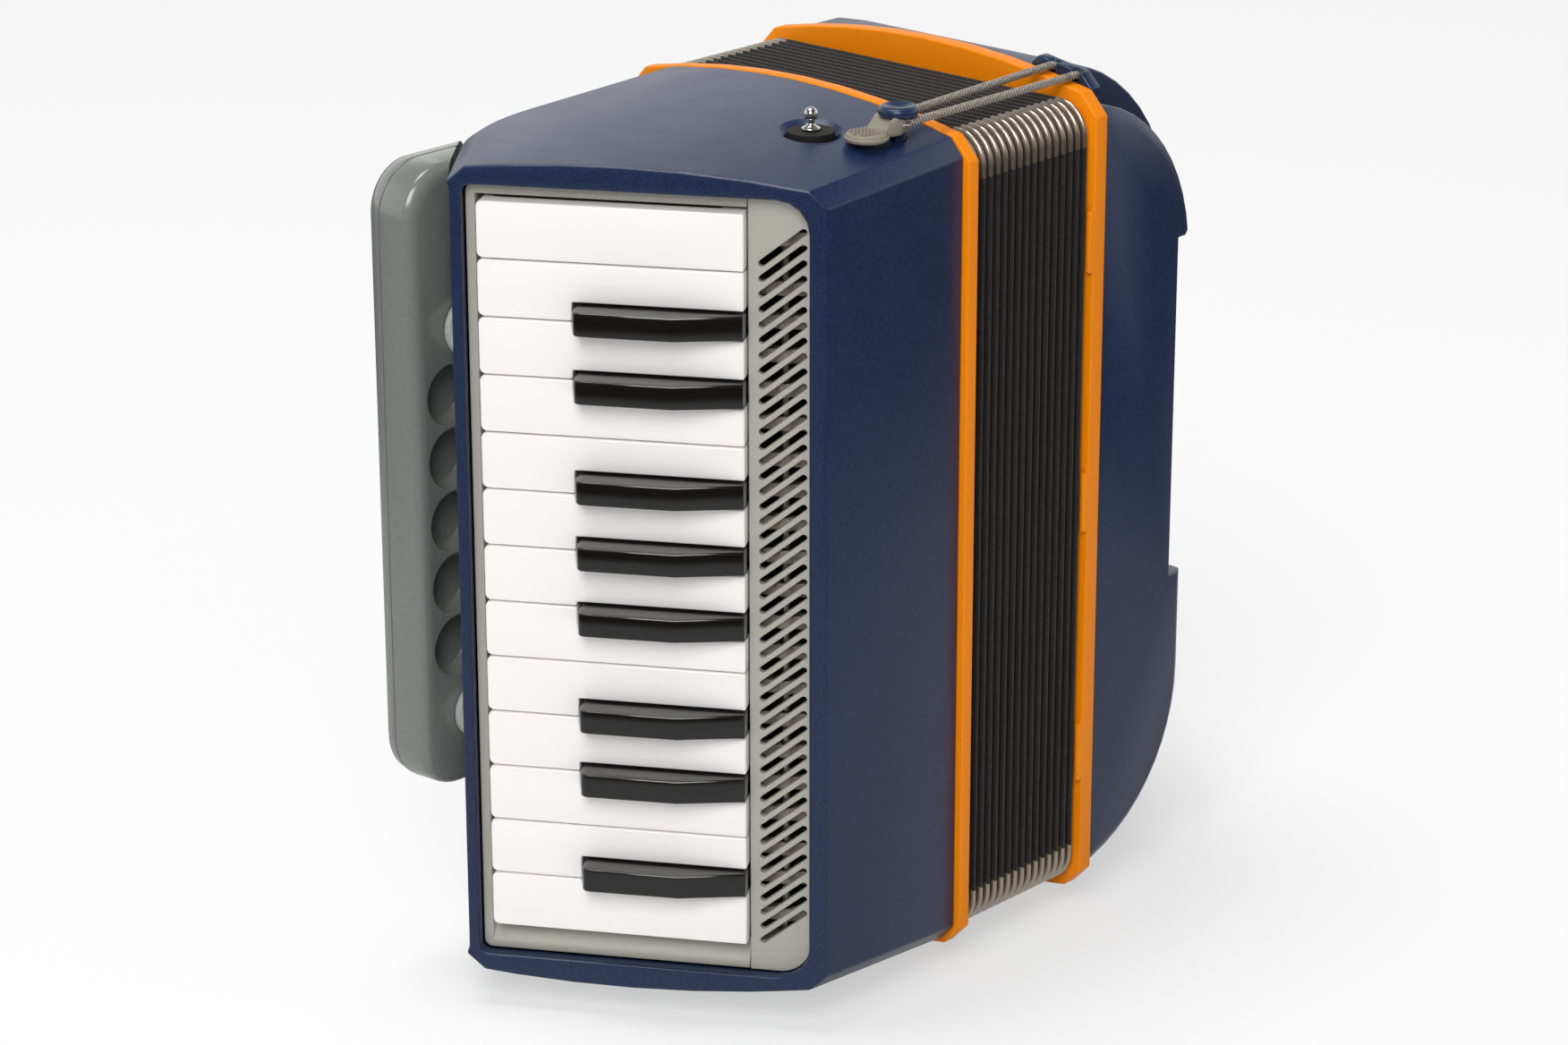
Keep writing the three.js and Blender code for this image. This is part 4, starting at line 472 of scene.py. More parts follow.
def quads(low, high, closed=True):
    """The faces between two rows of point numbers, whose ends meet where they are closed."""
    count = len(low)
    faces = []
    for k in range(count if closed else count - 1):
        n = (k + 1) % count
        faces.append((low[k], low[n], high[n], high[k]))
    return faces


def ladder(ring):
    """The faces across a ring of point numbers whose second half runs back beside its first."""
    return [(ring[k], ring[k + 1], ring[-2 - k], ring[-1 - k]) for k in range(len(ring) // 2 - 1)]


def tube(name, points, count, order=None, cap=lambda ring: [tuple(ring)]):
    """A mesh of rings of count points, capped at both ends, or joined in an order that leads back."""
    rings = [range(first, first + count) for first in range(0, len(points), count)]
    chain = [rings[k] for k in order] if order else rings
    faces = []
    for low, high in zip(chain, chain[1:]):
        faces += quads(low, high)
    if not order:
        faces += cap(rings[0]) + cap(rings[-1])
    return mesh_from(name, points, faces)


def angles(steps, start=0.0, sweep=2 * pi):
    """The angles at the steps of a sweep, from its start to its end."""
    return [start + sweep * k / steps for k in range(steps + 1)]


def lathe(name, profile, steps, centre, axis="Z"):
    """A turned mesh about centre. The profile is (radius, height), from the axis below to the axis above."""
    points = []
    rows = []
    for radius, height in profile:
        first = len(points)
        rows.append([*range(first, first + steps)] if radius > 0 else [first] * steps)
        for angle in angles(steps)[: steps if radius > 0 else 1]:
            p = Vector((radius * cos(angle), radius * sin(angle), height)) * MM
            points.append(centre + (p.zxy if axis == "X" else p))
    # A face that ends on the axis keeps that corner once.
    faces = [tuple(dict.fromkeys(face)) for low, high in zip(rows, rows[1:]) for face in quads(low, high)]
    return mesh_from(name, points, faces)


def directions(corners, i):
    """The directions from a corner to the ones before and after it."""
    corner = Vector(corners[i][:2])
    after = Vector(corners[(i + 1) % len(corners)][:2])
    return (Vector(corners[i - 1][:2]) - corner).normalized(), (after - corner).normalized()


def rounded_profile(corners, steps=5):
    """A profile of (radius, height, rounding) corners, rounded."""
    result = []
    for i, (r, h, rounding) in enumerate(corners):
        if not rounding or i in (0, len(corners) - 1):
            result.append((r, h))
            continue
        corner = Vector((r, h))
        before, after = directions(corners, i)
        start = corner + before * rounding
        end = corner + after * rounding
        for k in range(steps + 1):
            t = k / steps
            p = start * (1 - t) ** 2 + corner * 2 * t * (1 - t) + end * t**2
            result.append((max(p.x, 0.0), p.y))
    return result


def filleted(corners, steps):
    """The points of an outline whose (x, y, radius) corners are rounded."""
    result = []
    for i, (x, y, radius) in enumerate(corners):
        corner = Vector((x, y))
        if not radius:
            result.append(corner)
            continue
        before, after = directions(corners, i)
        half = acos(before.dot(after)) / 2
        centre = corner + (before + after).normalized() * (radius / sin(half))
        start = corner + before * (radius / tan(half)) - centre
        sweep = (pi - 2 * half) * (1 if after.cross(before) > 0 else -1)
        for angle in angles(steps, 0.0, sweep):
            result.append(Matrix.Rotation(angle, 2) @ start + centre)
    return result


def mirrored(half):
    """A profile of (place, height) whose other half mirrors this one about its last point."""
    middle = half[-1][0]
    return half + [(2 * middle - place, height) for place, height in half[-2::-1]]


# Bellows. Profiles are (share of a fold, depth).
CORNER_STEPS = 8
TOP_STOPS = 8
SIDE_STOPS = 12
LEAST_CORNER = 2.0
FOLD_PROFILE = mirrored([(0.00, 7.0), (0.09, 6.2), (0.24, 2.2), (0.31, 0.8), (0.39, 0.14), (0.50, 0.0)])[:-1]
TAPE_DEPTH = 1.6
INNER_GAP = 1.2
# The cloth's unevenness, as (waves for each metre, reach)
SWAYS = ((90.0, 0.16), (260.0, 0.05))
CORNER_PROFILE = mirrored(
    [(0.17, 2.8), (0.19, 2.1), (0.225, 1.2), (0.27, 0.6), (0.33, 0.2), (0.42, 0.0), (0.50, -0.08)]
)
CORNER_LEG = 3.0
CORNER_TOP_LEG = 1.2
CORNER_BACK_TOP_LEG = 1.0
CORNER_THICKNESS = 0.3


def bellows_sides(drawn_in):
    """The front, the back, the half height and the corner radius of the bellows at a depth."""
    front = drawn_in - FLANGE_OVERHANG
    half = CASING_HALF_HEIGHT - BELLOWS_DROP - drawn_in
    return front, CASING_DEPTH - front, half, max(BELLOWS_CORNER - drawn_in / 2, LEAST_CORNER)


def bellows_outline(drawn_in):
    """The outline seen along X, as (y, z) points, with stops along its straight sides."""
    front, back, half, radius = bellows_sides(drawn_in)
    ends = ((front, -half), (back, -half), (back, half), (front, half), (front, -half))
    corners = []
    for (y, z), (next_y, next_z), stops in zip(ends, ends[1:], (TOP_STOPS, SIDE_STOPS) * 2):
        corners.append((y, z, radius))
        shares = [i / stops for i in range(1, stops)]
        corners += [(y + (next_y - y) * share, z + (next_z - z) * share, 0) for share in shares]
    return filleted(corners, CORNER_STEPS)


def fold_x(fold, share):
    return BELLOWS_X + (fold + share) * FOLD_PITCH


def make_bellows():
    """The folds and a smooth wall inside them, as one closed piece."""
    rings = [(fold_x(fold, share), depth) for fold in range(FOLD_COUNT) for share, depth in FOLD_PROFILE]
    rings.append((BELLOWS_END_X, FOLD_DEPTH))
    outlines = {depth: bellows_outline(FOLD_INSET + depth) for _, depth in rings}
    inner = bellows_outline(FOLD_INSET + FOLD_DEPTH + INNER_GAP)
    points = []
    tape = []
    for x, depth in rings:
        for p in outlines[depth]:
            point = at(x, *p)
            sway = sum(noise.noise(point * waves) * reach for waves, reach in SWAYS)
            shift = 0.0 if depth == FOLD_DEPTH else sway
            points.append(point + Vector((shift * MM, 0, 0)))
            tape.append(max(0.0, 1.0 - depth / TAPE_DEPTH))
    for x in (BELLOWS_X, BELLOWS_END_X):
        points += [at(x, *p) for p in inner]
    tape += [0.0] * (2 * len(inner))
    last = len(rings) - 1
    mesh = tube("bellows_folds", points, len(inner), [*range(last + 1), last + 2, last + 1, 0])
    mark(mesh, "tape", tape)
    piece = piece_from(mesh, bellows_cloth(), None, ("bellows",), 70.0)
    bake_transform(piece)


def corner_path(drawn_in, up, back_side):
    """The (y, z) line of a metal corner: a leg beside the corner, the corner itself and a leg over it."""
    front, _, half, radius = bellows_sides(drawn_in)
    centre = Vector((front + radius, half - radius))
    line = [Vector((front, centre.y - CORNER_LEG))]
    for angle in angles(CORNER_STEPS * 2, pi, -pi / 2):
        line.append(centre + Vector((cos(angle), sin(angle))) * radius)
    line.append(Vector((centre.x + (CORNER_BACK_TOP_LEG if back_side else CORNER_TOP_LEG), half)))
    return [Vector((CASING_DEPTH - p.x if back_side else p.x, p.y * up)) for p in line]


def make_corners():
    """Thin bent plates over the four corners of each fold."""
    inside = [(share, depth + CORNER_THICKNESS) for share, depth in reversed(CORNER_PROFILE)]
    points = []
    faces = []
    for up, back_side, fold in product((1, -1), (False, True), range(FOLD_COUNT)):
        rows = []
        for share, depth in CORNER_PROFILE + inside:
            line = corner_path(FOLD_INSET + depth, up, back_side)
            rows.append(range(len(points), len(points) + len(line)))
            points += [at(fold_x(fold, share), *p) for p in line]
        for low, high in zip(rows, rows[1:] + rows[:1]):
            faces += quads(low, high, closed=False)
        for end in (0, -1):
            faces += ladder([row[end] for row in rows])
    mesh = mesh_from("bellows_corners", points, faces)
    piece = piece_from(mesh, nickel, smooth_degrees=60.0)
    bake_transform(piece)


make_bellows()
make_corners()

# Closure: cap, tab and braided elastic
CLOSURE_X = TREBLE_WIDTH - 14.3
CLOSURE_Y = 13.5
CAP_RADIUS = 6.2
STEM_RADIUS = 2.3
STEM_FOOT_RADIUS = 4.5
STEM_FOOT_HEIGHT = 1.5
CORD_DIAMETER = 2.5
CORD_RISE = 5.4
CORD_SEAT = CORD_DIAMETER / 2 + 0.3
LOOP_RADIUS = STEM_RADIUS + CORD_SEAT + 0.3
closure_top = top_height(CLOSURE_X, CLOSURE_Y)


def make_closure():
    """The button: a stem on a round foot, and a dished cap over the elastic's loop."""
    low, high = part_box("closure_button")
    bottom = drawn(low).z - closure_top
    top = drawn(high).z - closure_top
    under = CORD_RISE + CORD_SEAT
    profile = [
        (0, bottom, 0),
        (STEM_FOOT_RADIUS, bottom, 0.3),
        (STEM_FOOT_RADIUS, bottom + STEM_FOOT_HEIGHT, 0.3),
        (STEM_RADIUS, bottom + STEM_FOOT_HEIGHT, 0),
        (STEM_RADIUS, under, 0),
        (CAP_RADIUS - 0.5, under, 0.4),
        (CAP_RADIUS, under + 0.9, 0.6),
        (CAP_RADIUS, top - 0.9, 0.8),
        (CAP_RADIUS - 1.2, top, 0.9),
        (CAP_RADIUS - 2.4, top - 0.35, 1.0),
        (CAP_RADIUS * 0.3, top - 1.1, 1.2),
        (0, top - 1.15, 0),
    ]
    mesh = lathe("closure_cap", rounded_profile(profile), 48, at(CLOSURE_X, CLOSURE_Y, closure_top))
    piece_from(mesh, navy_smooth, "treble_side", ("closure_button",), 50.0)


TAB_DEGREES = 170.0
TAB_REACH = 12.0
TAB_RADIUS = 6.75
TAB_FACE = 2.6
TAB_RISE = 1.0
TAB_COLUMNS = 8
TAB_ROWS = 5
TAB_COLUMN_PITCH = 1.35
TAB_ROW_PITCH = 1.25 * TAB_COLUMN_PITCH
TAB_DOT_RADIUS = 0.46
TAB_DOT_MARGIN = 1.9
SLEEVE_RADIUS = 3.0
SLEEVE_STEPS = 6
SLEEVE_BOTTOM = 1.0
SLEEVE_TOP = CORD_RISE + CORD_SEAT - 0.1
SLEEVE_HOLE_RADIUS = STEM_RADIUS + 0.3
# The neck's levels, as (share of its height, share by which it is narrower there)
NECK_LEVELS = ((0.0, 0.12), (0.12, 0.03), (0.3, 0.0), (0.8, 0.0), (0.94, 0.03), (1.0, 0.12))


def tab_grip():
    """The tab's round grip, with a step round its face."""
    profile = [
        (0, 0, 0),
        (TAB_RADIUS - 0.8, 0, 0.5),
        (TAB_RADIUS, 0.7, 0.4),
        (TAB_RADIUS, 1.5, 0.25),
        (TAB_RADIUS - 0.45, 1.7, 0.15),
        (TAB_RADIUS - 0.55, 2.35, 0.3),
        (TAB_RADIUS - 1.3, TAB_FACE, 0.3),
        (0, TAB_FACE, 0),
    ]
    return lathe("grip", rounded_profile(profile), 44, Vector((TAB_REACH * MM, 0, 0)))


def tab_neck():
    """The tab's neck, which rises from the grip to a sleeve round the stem."""
    outline = []
    for angle in angles(SLEEVE_STEPS, pi / 2, pi):
        x, y = SLEEVE_RADIUS * cos(angle), SLEEVE_RADIUS * sin(angle)
        outline.append((x, y, SLEEVE_BOTTOM, SLEEVE_TOP))
    side = (
        (1.8, 4.3, SLEEVE_BOTTOM, SLEEVE_TOP),
        (2.8, 4.7, SLEEVE_BOTTOM, SLEEVE_TOP),
        (5.4, 4.6, SLEEVE_BOTTOM, SLEEVE_TOP - 0.3),
        (6.6, 4.3, 0.8, 5.6),
        (8.2, 4.4, 0.5, 3.4),
        (9.8, 4.6, 0.3, 2.3),
        (TAB_REACH, 4.6, 0.3, 2.2),
    )
    outline += [(x, -y, low, top) for x, y, low, top in side]
    outline += reversed(side)
    points = []
    for level, inset in NECK_LEVELS:
        for x, y, low, top in outline:
            points.append(Vector((x * (1 - inset * 0.4), y * (1 - inset), low + (top - low) * level)) * MM)
    for height in (SLEEVE_BOTTOM, SLEEVE_TOP):
        for x, y, _, _ in outline:
            out = Vector((x, y)).normalized() * SLEEVE_HOLE_RADIUS
            points.append(Vector((*out, height)) * MM)
    last = len(NECK_LEVELS) - 1
    return tube("neck", points, len(outline), [*range(last + 1), last + 2, last + 1, 0])


def tab_dots():
    """Small raised dots in rows on the grip's face."""
    radius = TAB_DOT_RADIUS
    profile = [(0, 2.5), (radius, 2.5), (radius, 3.2), (radius * 0.7, 3.4), (0, 3.46)]
    dots = []
    for column, row in product(range(TAB_COLUMNS), range(TAB_ROWS)):
        x = (column - (TAB_COLUMNS - 1) / 2) * TAB_COLUMN_PITCH
        y = (row - (TAB_ROWS - 1) / 2) * TAB_ROW_PITCH
        if hypot(x, y) <= TAB_RADIUS - TAB_DOT_MARGIN:
            dots.append(lathe("dot", profile, 8, Vector(((TAB_REACH + x) * MM, y * MM, 0))))
    return dots


def make_tab():
    mesh = joined("pull_tab_grip", [tab_grip(), tab_neck(), *tab_dots()])
    spin = Matrix.Rotation(radians(TAB_DEGREES), 4, "Z")
    mesh.transform(Matrix.Translation(at(CLOSURE_X, CLOSURE_Y, closure_top + TAB_RISE)) @ spin)
    piece_from(mesh, tab_plastic, "treble_side", ("pull_tab",), 45.0)


REAR_RUN_Y = 20.6
FRONT_RUN_Y = 11.4
CORD_END_X = BASS_X + 2.2
CORD_DIP = 1.0
CORD_STEP = 0.4
CORD_SIDES = 20
LOOP_STEPS = 8
BRAID_STRANDS = 4
BRAID_PITCH = 5.2
BRAID_HEIGHT = 0.3


def cord_run(y, loop_y):
    """A run of the elastic, from the bracket over the flange towards its side of the loop."""
    z = crown(y, FLANGE_HALF_HEIGHT) + CORD_SEAT * 1.2
    flange = Vector((BASS_FLANGE_X, y, z))
    loop = Vector((CLOSURE_X, loop_y, closure_top + CORD_RISE))
    run = [Vector((CORD_END_X, y, z - CORD_DIP)), Vector((BASS_X, y, z)), flange]
    return run + [flange.lerp(loop, share) for share in (0.25, 0.5, 0.75)]


def cord_route():
    """The points that the elastic follows, from the bracket round the stem and back."""
    loop = []
    for angle in angles(LOOP_STEPS, pi / 2, pi):
        x = CLOSURE_X + LOOP_RADIUS * cos(angle)
        y = CLOSURE_Y + LOOP_RADIUS * sin(angle)
        loop.append(Vector((x, y, closure_top + CORD_RISE)))
    rear = cord_run(REAR_RUN_Y, CLOSURE_Y + LOOP_RADIUS)
    front = cord_run(FRONT_RUN_Y, CLOSURE_Y - LOOP_RADIUS)
    return rear + loop + front[::-1]


def smooth_line(points, step):
    """A Catmull-Rom line through the points, sampled about every step."""
    line = []
    padded = [points[0] * 2 - points[1], *points, points[-1] * 2 - points[-2]]
    for a, b, c, d in zip(padded, padded[1:], padded[2:], padded[3:]):
        count = max(1, round((c - b).length / step))
        for k in range(count):
            t = k / count
            bend = (a * 2 - b * 5 + c * 4 - d) * t**2 + (b * 3 - a - c * 3 + d) * t**3
            line.append((b * 2 + (c - a) * t + bend) / 2)
    line.append(points[-1])
    return line


def make_cord():
    """The elastic, whose strands wind both ways round it and cross."""
    line = smooth_line(cord_route(), CORD_STEP)
    points = []
    strand = []
    run = 0.0
    side_way = Vector((0, 0, 1))
    for i, p in enumerate(line):
        before = line[max(i - 1, 0)]
        after = line[min(i + 1, len(line) - 1)]
        run += (p - before).length
        along = (after - before).normalized()
        side_way = (side_way - along * side_way.dot(along)).normalized()
        third = along.cross(side_way)
        phase = 2 * pi * run / BRAID_PITCH
        for angle in angles(CORD_SIDES)[:-1]:
            height = max(sin(BRAID_STRANDS * (angle + way * phase)) for way in (1, -1))
            radius = CORD_DIAMETER / 2 - BRAID_HEIGHT * (1 - height) / 2
            points.append(at(*(p + (side_way * cos(angle) + third * sin(angle)) * radius)))
            # The strands' height, which the braid's colour turns into painted shade and highlight.
            strand.append((height + 1) / 2)
    mesh = tube("elastic_braid", points, CORD_SIDES)
    mark(mesh, "strand", strand)
    piece = piece_from(mesh, braid(), None, ("elastic_cord",), 80.0)
    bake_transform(piece)


make_closure()
make_tab()
make_cord()

# Ball stud and its disc
STUD_X = TREBLE_WIDTH - 30.9
STUD_Y = 33.5
DISC_RADIUS = 7.2
DISC_HEIGHT = 3.8
DISC_HOLE_RADIUS = 1.9
COLLAR_RADIUS = 2.9
NECK_RADIUS = 1.2
BALL_RADIUS = 2.2
BALL_RISE = 4.6
BALL_STEPS = 18


def stud_foot(node):
    """The place on the stud's axis where one of its solids starts."""
    return Vector((*at(STUD_X, STUD_Y, 0).xy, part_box(node)[0].z))


def make_stud():
    """A ball on a waisted neck, and the black disc that it stands on."""
    profile = [
        (0, 0, 0),
        (DISC_RADIUS, 0, 0.2),
        (DISC_RADIUS, DISC_HEIGHT, 0.3),
        (DISC_HOLE_RADIUS, DISC_HEIGHT, 0.15),
        (DISC_HOLE_RADIUS, DISC_HEIGHT - 0.6, 0),
        (0, DISC_HEIGHT - 0.6, 0),
    ]
    mesh = lathe("stud_disc", rounded_profile(profile), 56, stud_foot("stud_base"))
    piece_from(mesh, black_rubber, "treble_side", ("stud_base",))
    collar = DISC_HEIGHT + 0.3
    centre = collar + BALL_RISE
    start = asin(NECK_RADIUS / BALL_RADIUS)
    arc = angles(BALL_STEPS, start, pi - start)[:-1]
    profile = [
        (0, 0, 0),
        (NECK_RADIUS, 0, 0),
        (NECK_RADIUS, collar, 0),
        (COLLAR_RADIUS, collar, 0.15),
        (COLLAR_RADIUS, collar + 0.55, 0.25),
        (COLLAR_RADIUS - 1.0, collar + 1.0, 0.3),
        (NECK_RADIUS, collar + 1.7, 0.5),
        *((BALL_RADIUS * sin(angle), centre - BALL_RADIUS * cos(angle), 0) for angle in arc),
        (0, centre + BALL_RADIUS, 0),
    ]
    mesh = lathe("stud_ball", rounded_profile(profile), 40, stud_foot("ball_stud"))
    piece_from(mesh, chrome, "treble_side", ("ball_stud",), 60.0)


make_stud()

# Bass buttons, with the depth of the dish in each one's end
BUTTON_DISHES = {f"bass_button_{number}": 0.7 for number in range(1, 9)} | {"air_button": 1.0}
BUTTON_STEM_RADIUS = 2.0
BUTTON_COLLAR_START = 8.0
BUTTON_COLLAR_END = 9.5
BUTTON_COLLAR_WIDTH = 1.2
BUTTON_RIM_REACH = 1.6


def make_button(node, dished):
    """A round button that lies along X: a stem, a collar behind the casing's wall and a dished end."""
    low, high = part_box(node)
    radius = (high.y - low.y) / 2 / MM
    cap = radius - BUTTON_COLLAR_WIDTH
    length = (high.x - low.x) / MM
    profile = [
        (0, 0, 0),
        (BUTTON_STEM_RADIUS, 0, 0.2),
        (BUTTON_STEM_RADIUS, BUTTON_COLLAR_START, 0),
        (radius, BUTTON_COLLAR_START, 0.2),
        (radius, BUTTON_COLLAR_END, 0.2),
        (cap, BUTTON_COLLAR_END, 0),
        (cap, length - 0.2, 0.9),
        (cap * 0.55, length - dished * 0.2, 0.5),
        (0, length - dished, 0),
    ]
    centre = Vector((low.x, (low.y + high.y) / 2, (low.z + high.z) / 2))
    mesh = lathe(node + "_cap", rounded_profile(profile), 28, centre, "X")
    piece_from(mesh, button_black, body_of(node), (node,), 50.0)


for name, dished in BUTTON_DISHES.items():
    make_button(name, dished)

# Hand strap
STRAP_THICKNESS = 3.0
STRAP_SUNK = 7.5
STRAP_STEPS = 44
# Across the strap, as (share of its half width, share of its thickness)
STRAP_TOP = mirrored(
    [(-1.0, 0.25), (-0.985, 0.42), (-0.93, 0.46), (-0.86, 0.34), (-0.78, 0.44), (-0.5, 0.49), (0.0, 0.5)]
)
STITCH_LENGTH = 3.2
STITCH_GAP = 1.3
STITCH_INSET = 4.0
STITCH_START = 9.0
STITCH_HEIGHT = 0.36 * STRAP_THICKNESS
STITCH_RADIUS = 0.28
STITCH_SIDES = 6
STITCH_STEPS = 5


def stitch_mesh(centre, direction, out, y):
    """One stitch: a short thread that rises from the leather and goes back in."""
    points = []
    for k in range(STITCH_STEPS + 1):
        t = k / STITCH_STEPS
        swell = sin(pi * t)
        radius = STITCH_RADIUS * (0.55 + 0.45 * swell)
        p = centre + direction * ((t - 0.5) * STITCH_LENGTH) + out * (swell * 0.22 - 0.1)
        for angle in angles(STITCH_SIDES)[:-1]:
            q = p + out * (radius * sin(angle))
            points.append(at(q.x, y + radius * cos(angle), q.y))
    return tube("stitch", points, STITCH_SIDES)


def stitch_rows(line, rows):
    """The stitches along a line of (place, direction out), in rows given by their y."""
    stitches = []
    run = 0.0
    next_stitch = STITCH_START
    for (p, out), (q, _) in zip(line, line[1:]):
        length = (q - p).length
        while next_stitch < run + length:
            centre = p + (q - p) * ((next_stitch - run) / length) + out * STITCH_HEIGHT
            stitches += [stitch_mesh(centre, (q - p).normalized(), out, y) for y in rows]
            next_stitch += STITCH_LENGTH + STITCH_GAP
        run += length
    return stitches


def make_strap():
    """The strap, bowed out from the casing, with both ends sunk into it. Its line is in (x, z)."""
    low, high = (drawn(corner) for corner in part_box("hand_strap"))
    edge = (high.y - low.y) / 2
    centre_y = (low.y + high.y) / 2
    reach = (high.z - low.z) / 2 - STRAP_THICKNESS / 2
    surface = low.x + STRAP_SUNK
    rise = high.x - STRAP_THICKNESS / 2 - surface
    line = [Vector((low.x, reach))]
    for angle in angles(STRAP_STEPS, 0.0, pi):
        line.append(Vector((surface + rise * sin(angle), reach * cos(angle))))
    line.append(Vector((low.x, -reach)))
    section = [(share * edge, height * STRAP_THICKNESS) for share, height in STRAP_TOP]
    section += [(y, -height) for y, height in reversed(section)]
    points = []
    framed = []
    for i, p in enumerate(line):
        along = (line[min(i + 1, len(line) - 1)] - line[max(i - 1, 0)]).normalized()
        out = Vector((-along.y, along.x))
        framed.append((p, out))
        for y, height in section:
            q = p + out * height
            points.append(at(q.x, centre_y + y, q.y))
    mesh = tube("hand_strap_leather", points, len(section), cap=ladder)
    piece_from(mesh, leather(), "bass_side", ("hand_strap",), 50.0)
    rows = [centre_y + side * (edge - STITCH_INSET) for side in (-1, 1)]
    mesh = joined("hand_strap_stitches", stitch_rows(framed[2:-1], rows))
    piece_from(mesh, thread(), "bass_side", smooth_degrees=60.0)


make_strap()

# Grille beside the keys, drawn in (height, distance from the front edge) on the keyboard's plane
SLOT_PITCH = 4.73
SLOT_LENGTH = 18.1
SLOT_RADIUS = 1.05
SLOT_CENTRE = 14.25
SLOT_TURN = radians(90.0 + 38.5)
SLOT_MARGIN = 15.0
SLOT_STEPS = 8
GRILLE_CHAMFER = 0.16
GRILLE_CORNER = 9.7
GRILLE_CORNER_STEPS = 10


def slot_outline(z, grown):
    """A slanted slot with round ends."""
    radius = SLOT_RADIUS + grown
    reach = SLOT_LENGTH / 2 - SLOT_RADIUS
    outline = []
    for side, angle in product((1, -1), angles(SLOT_STEPS, -pi / 2, pi)):
        p = Vector((side * (reach + radius * cos(angle)), side * radius * sin(angle)))
        outline.append(Matrix.Rotation(SLOT_TURN, 2) @ p + Vector((z, SLOT_CENTRE)))
    return outline


def make_grille():
    """The slotted panel: its face, the level where the chamfers end, and its foot."""
    places = [drawn(v.co) for v in nodes["grille_panel"].data.vertices]
    half = max(p.z for p in places)
    distances = [p.dot(KEYBOARD_ALONG) for p in places]
    start, end = min(distances), max(distances)
    depths = [p.dot(KEYBOARD_INWARD) for p in places]
    near, far = min(depths), max(depths)
    count = 1 + int(2 * (half - SLOT_MARGIN) // SLOT_PITCH)
    heights = [(i - (count - 1) / 2) * SLOT_PITCH for i in range(count)]
    points = []
    levels = []
    for grown, depth in ((GRILLE_CHAMFER, near), (0, near + GRILLE_CHAMFER), (0, far)):
        a, b, side, radius = start + grown, end - grown, half - grown, GRILLE_CORNER - grown
        corners = [(-side, a, radius), (side, a, radius), (side, b, 0), (-side, b, 0)]
        rings = [filleted(corners, GRILLE_CORNER_STEPS), *(slot_outline(z, grown) for z in heights)]
        numbers = []
        for ring in rings:
            numbers.append(range(len(points), len(points) + len(ring)))
            for p in ring:
                points.append(at(*(KEYBOARD_ALONG * p.y + KEYBOARD_INWARD * depth + Vector((0, 0, p.x)))))
        levels.append((rings, numbers))
    faces = []
    for rings, numbers in (levels[0], levels[-1]):
        first = numbers[0][0]
        for triangle in geometry.tessellate_polygon([[p.to_3d() for p in ring] for ring in rings]):
            faces.append(tuple(first + k for k in triangle))
    for (_, upper), (_, lower) in zip(levels, levels[1:]):
        for high, low in zip(upper, lower):
            faces += quads(high, low)
    mesh = mesh_from("grille_slotted", points, faces)
    piece_from(mesh, grille_grey, body_of("grille_panel"), ("grille_panel",), 30.0)


# Moulded pieces
HARD_EDGE = radians(32.0)
FLAT_EDGE = radians(0.5)
SOLID_WELD = 0.01
ROUNDED_WELD = 0.002
KEY_START = 25.1
KEY_UNDERSIDE = 9.6
KEY_TOLERANCE = 0.05


def mark_arm(mesh):
    """Marks what lies behind or under a key's head, seen square to the keyboard."""
    marks = []
    for vertex in mesh.vertices:
        place = drawn(vertex.co)
        behind = place.dot(KEYBOARD_ALONG) < KEY_START - KEY_TOLERANCE
        under = place.dot(KEYBOARD_INWARD) > KEY_UNDERSIDE + KEY_TOLERANCE
        marks.append(float(behind or under))
    mark(mesh, "arm", marks)


def dressed(node, material, width, segments=3, shape=None):
    """A solid with rounded edges. A shape may change it first and gives the points whose edges stay crisp."""
    work = bmesh.new()
    work.from_mesh(nodes[node].data)
    bmesh.ops.remove_doubles(work, verts=work.verts, dist=SOLID_WELD * MM)
    bmesh.ops.dissolve_limit(work, angle_limit=FLAT_EDGE, verts=work.verts, edges=work.edges)
    crisp = shape(work) if shape else set()
    folded = [e for e in work.edges if len(e.link_faces) == 2 and e.calc_face_angle() > HARD_EDGE]
    bmesh.ops.bevel(
        work,
        geom=[e for e in folded if not crisp.issuperset(e.verts)],
        offset=width * MM,
        segments=segments,
        profile=0.5,
        affect="EDGES",
    )
    bmesh.ops.remove_doubles(work, verts=work.verts, dist=ROUNDED_WELD * MM)
    bmesh.ops.triangulate(work, faces=[f for f in work.faces if len(f.verts) > 4])
    mesh = bpy.data.meshes.new(node + "_dressed")
    work.to_mesh(mesh)
    work.free()
    return piece_from(mesh, material, body_of(node), (node,))


POCKET_RADIUS = 8.3
POCKET_DEPTH = 4.0
DISH_RADIUS = 10.1
DISH_DEPTH = 2.2
DISH_INSET = 0.05
CUP_REACH = 11.0
CUTTER_RISE = 1.0


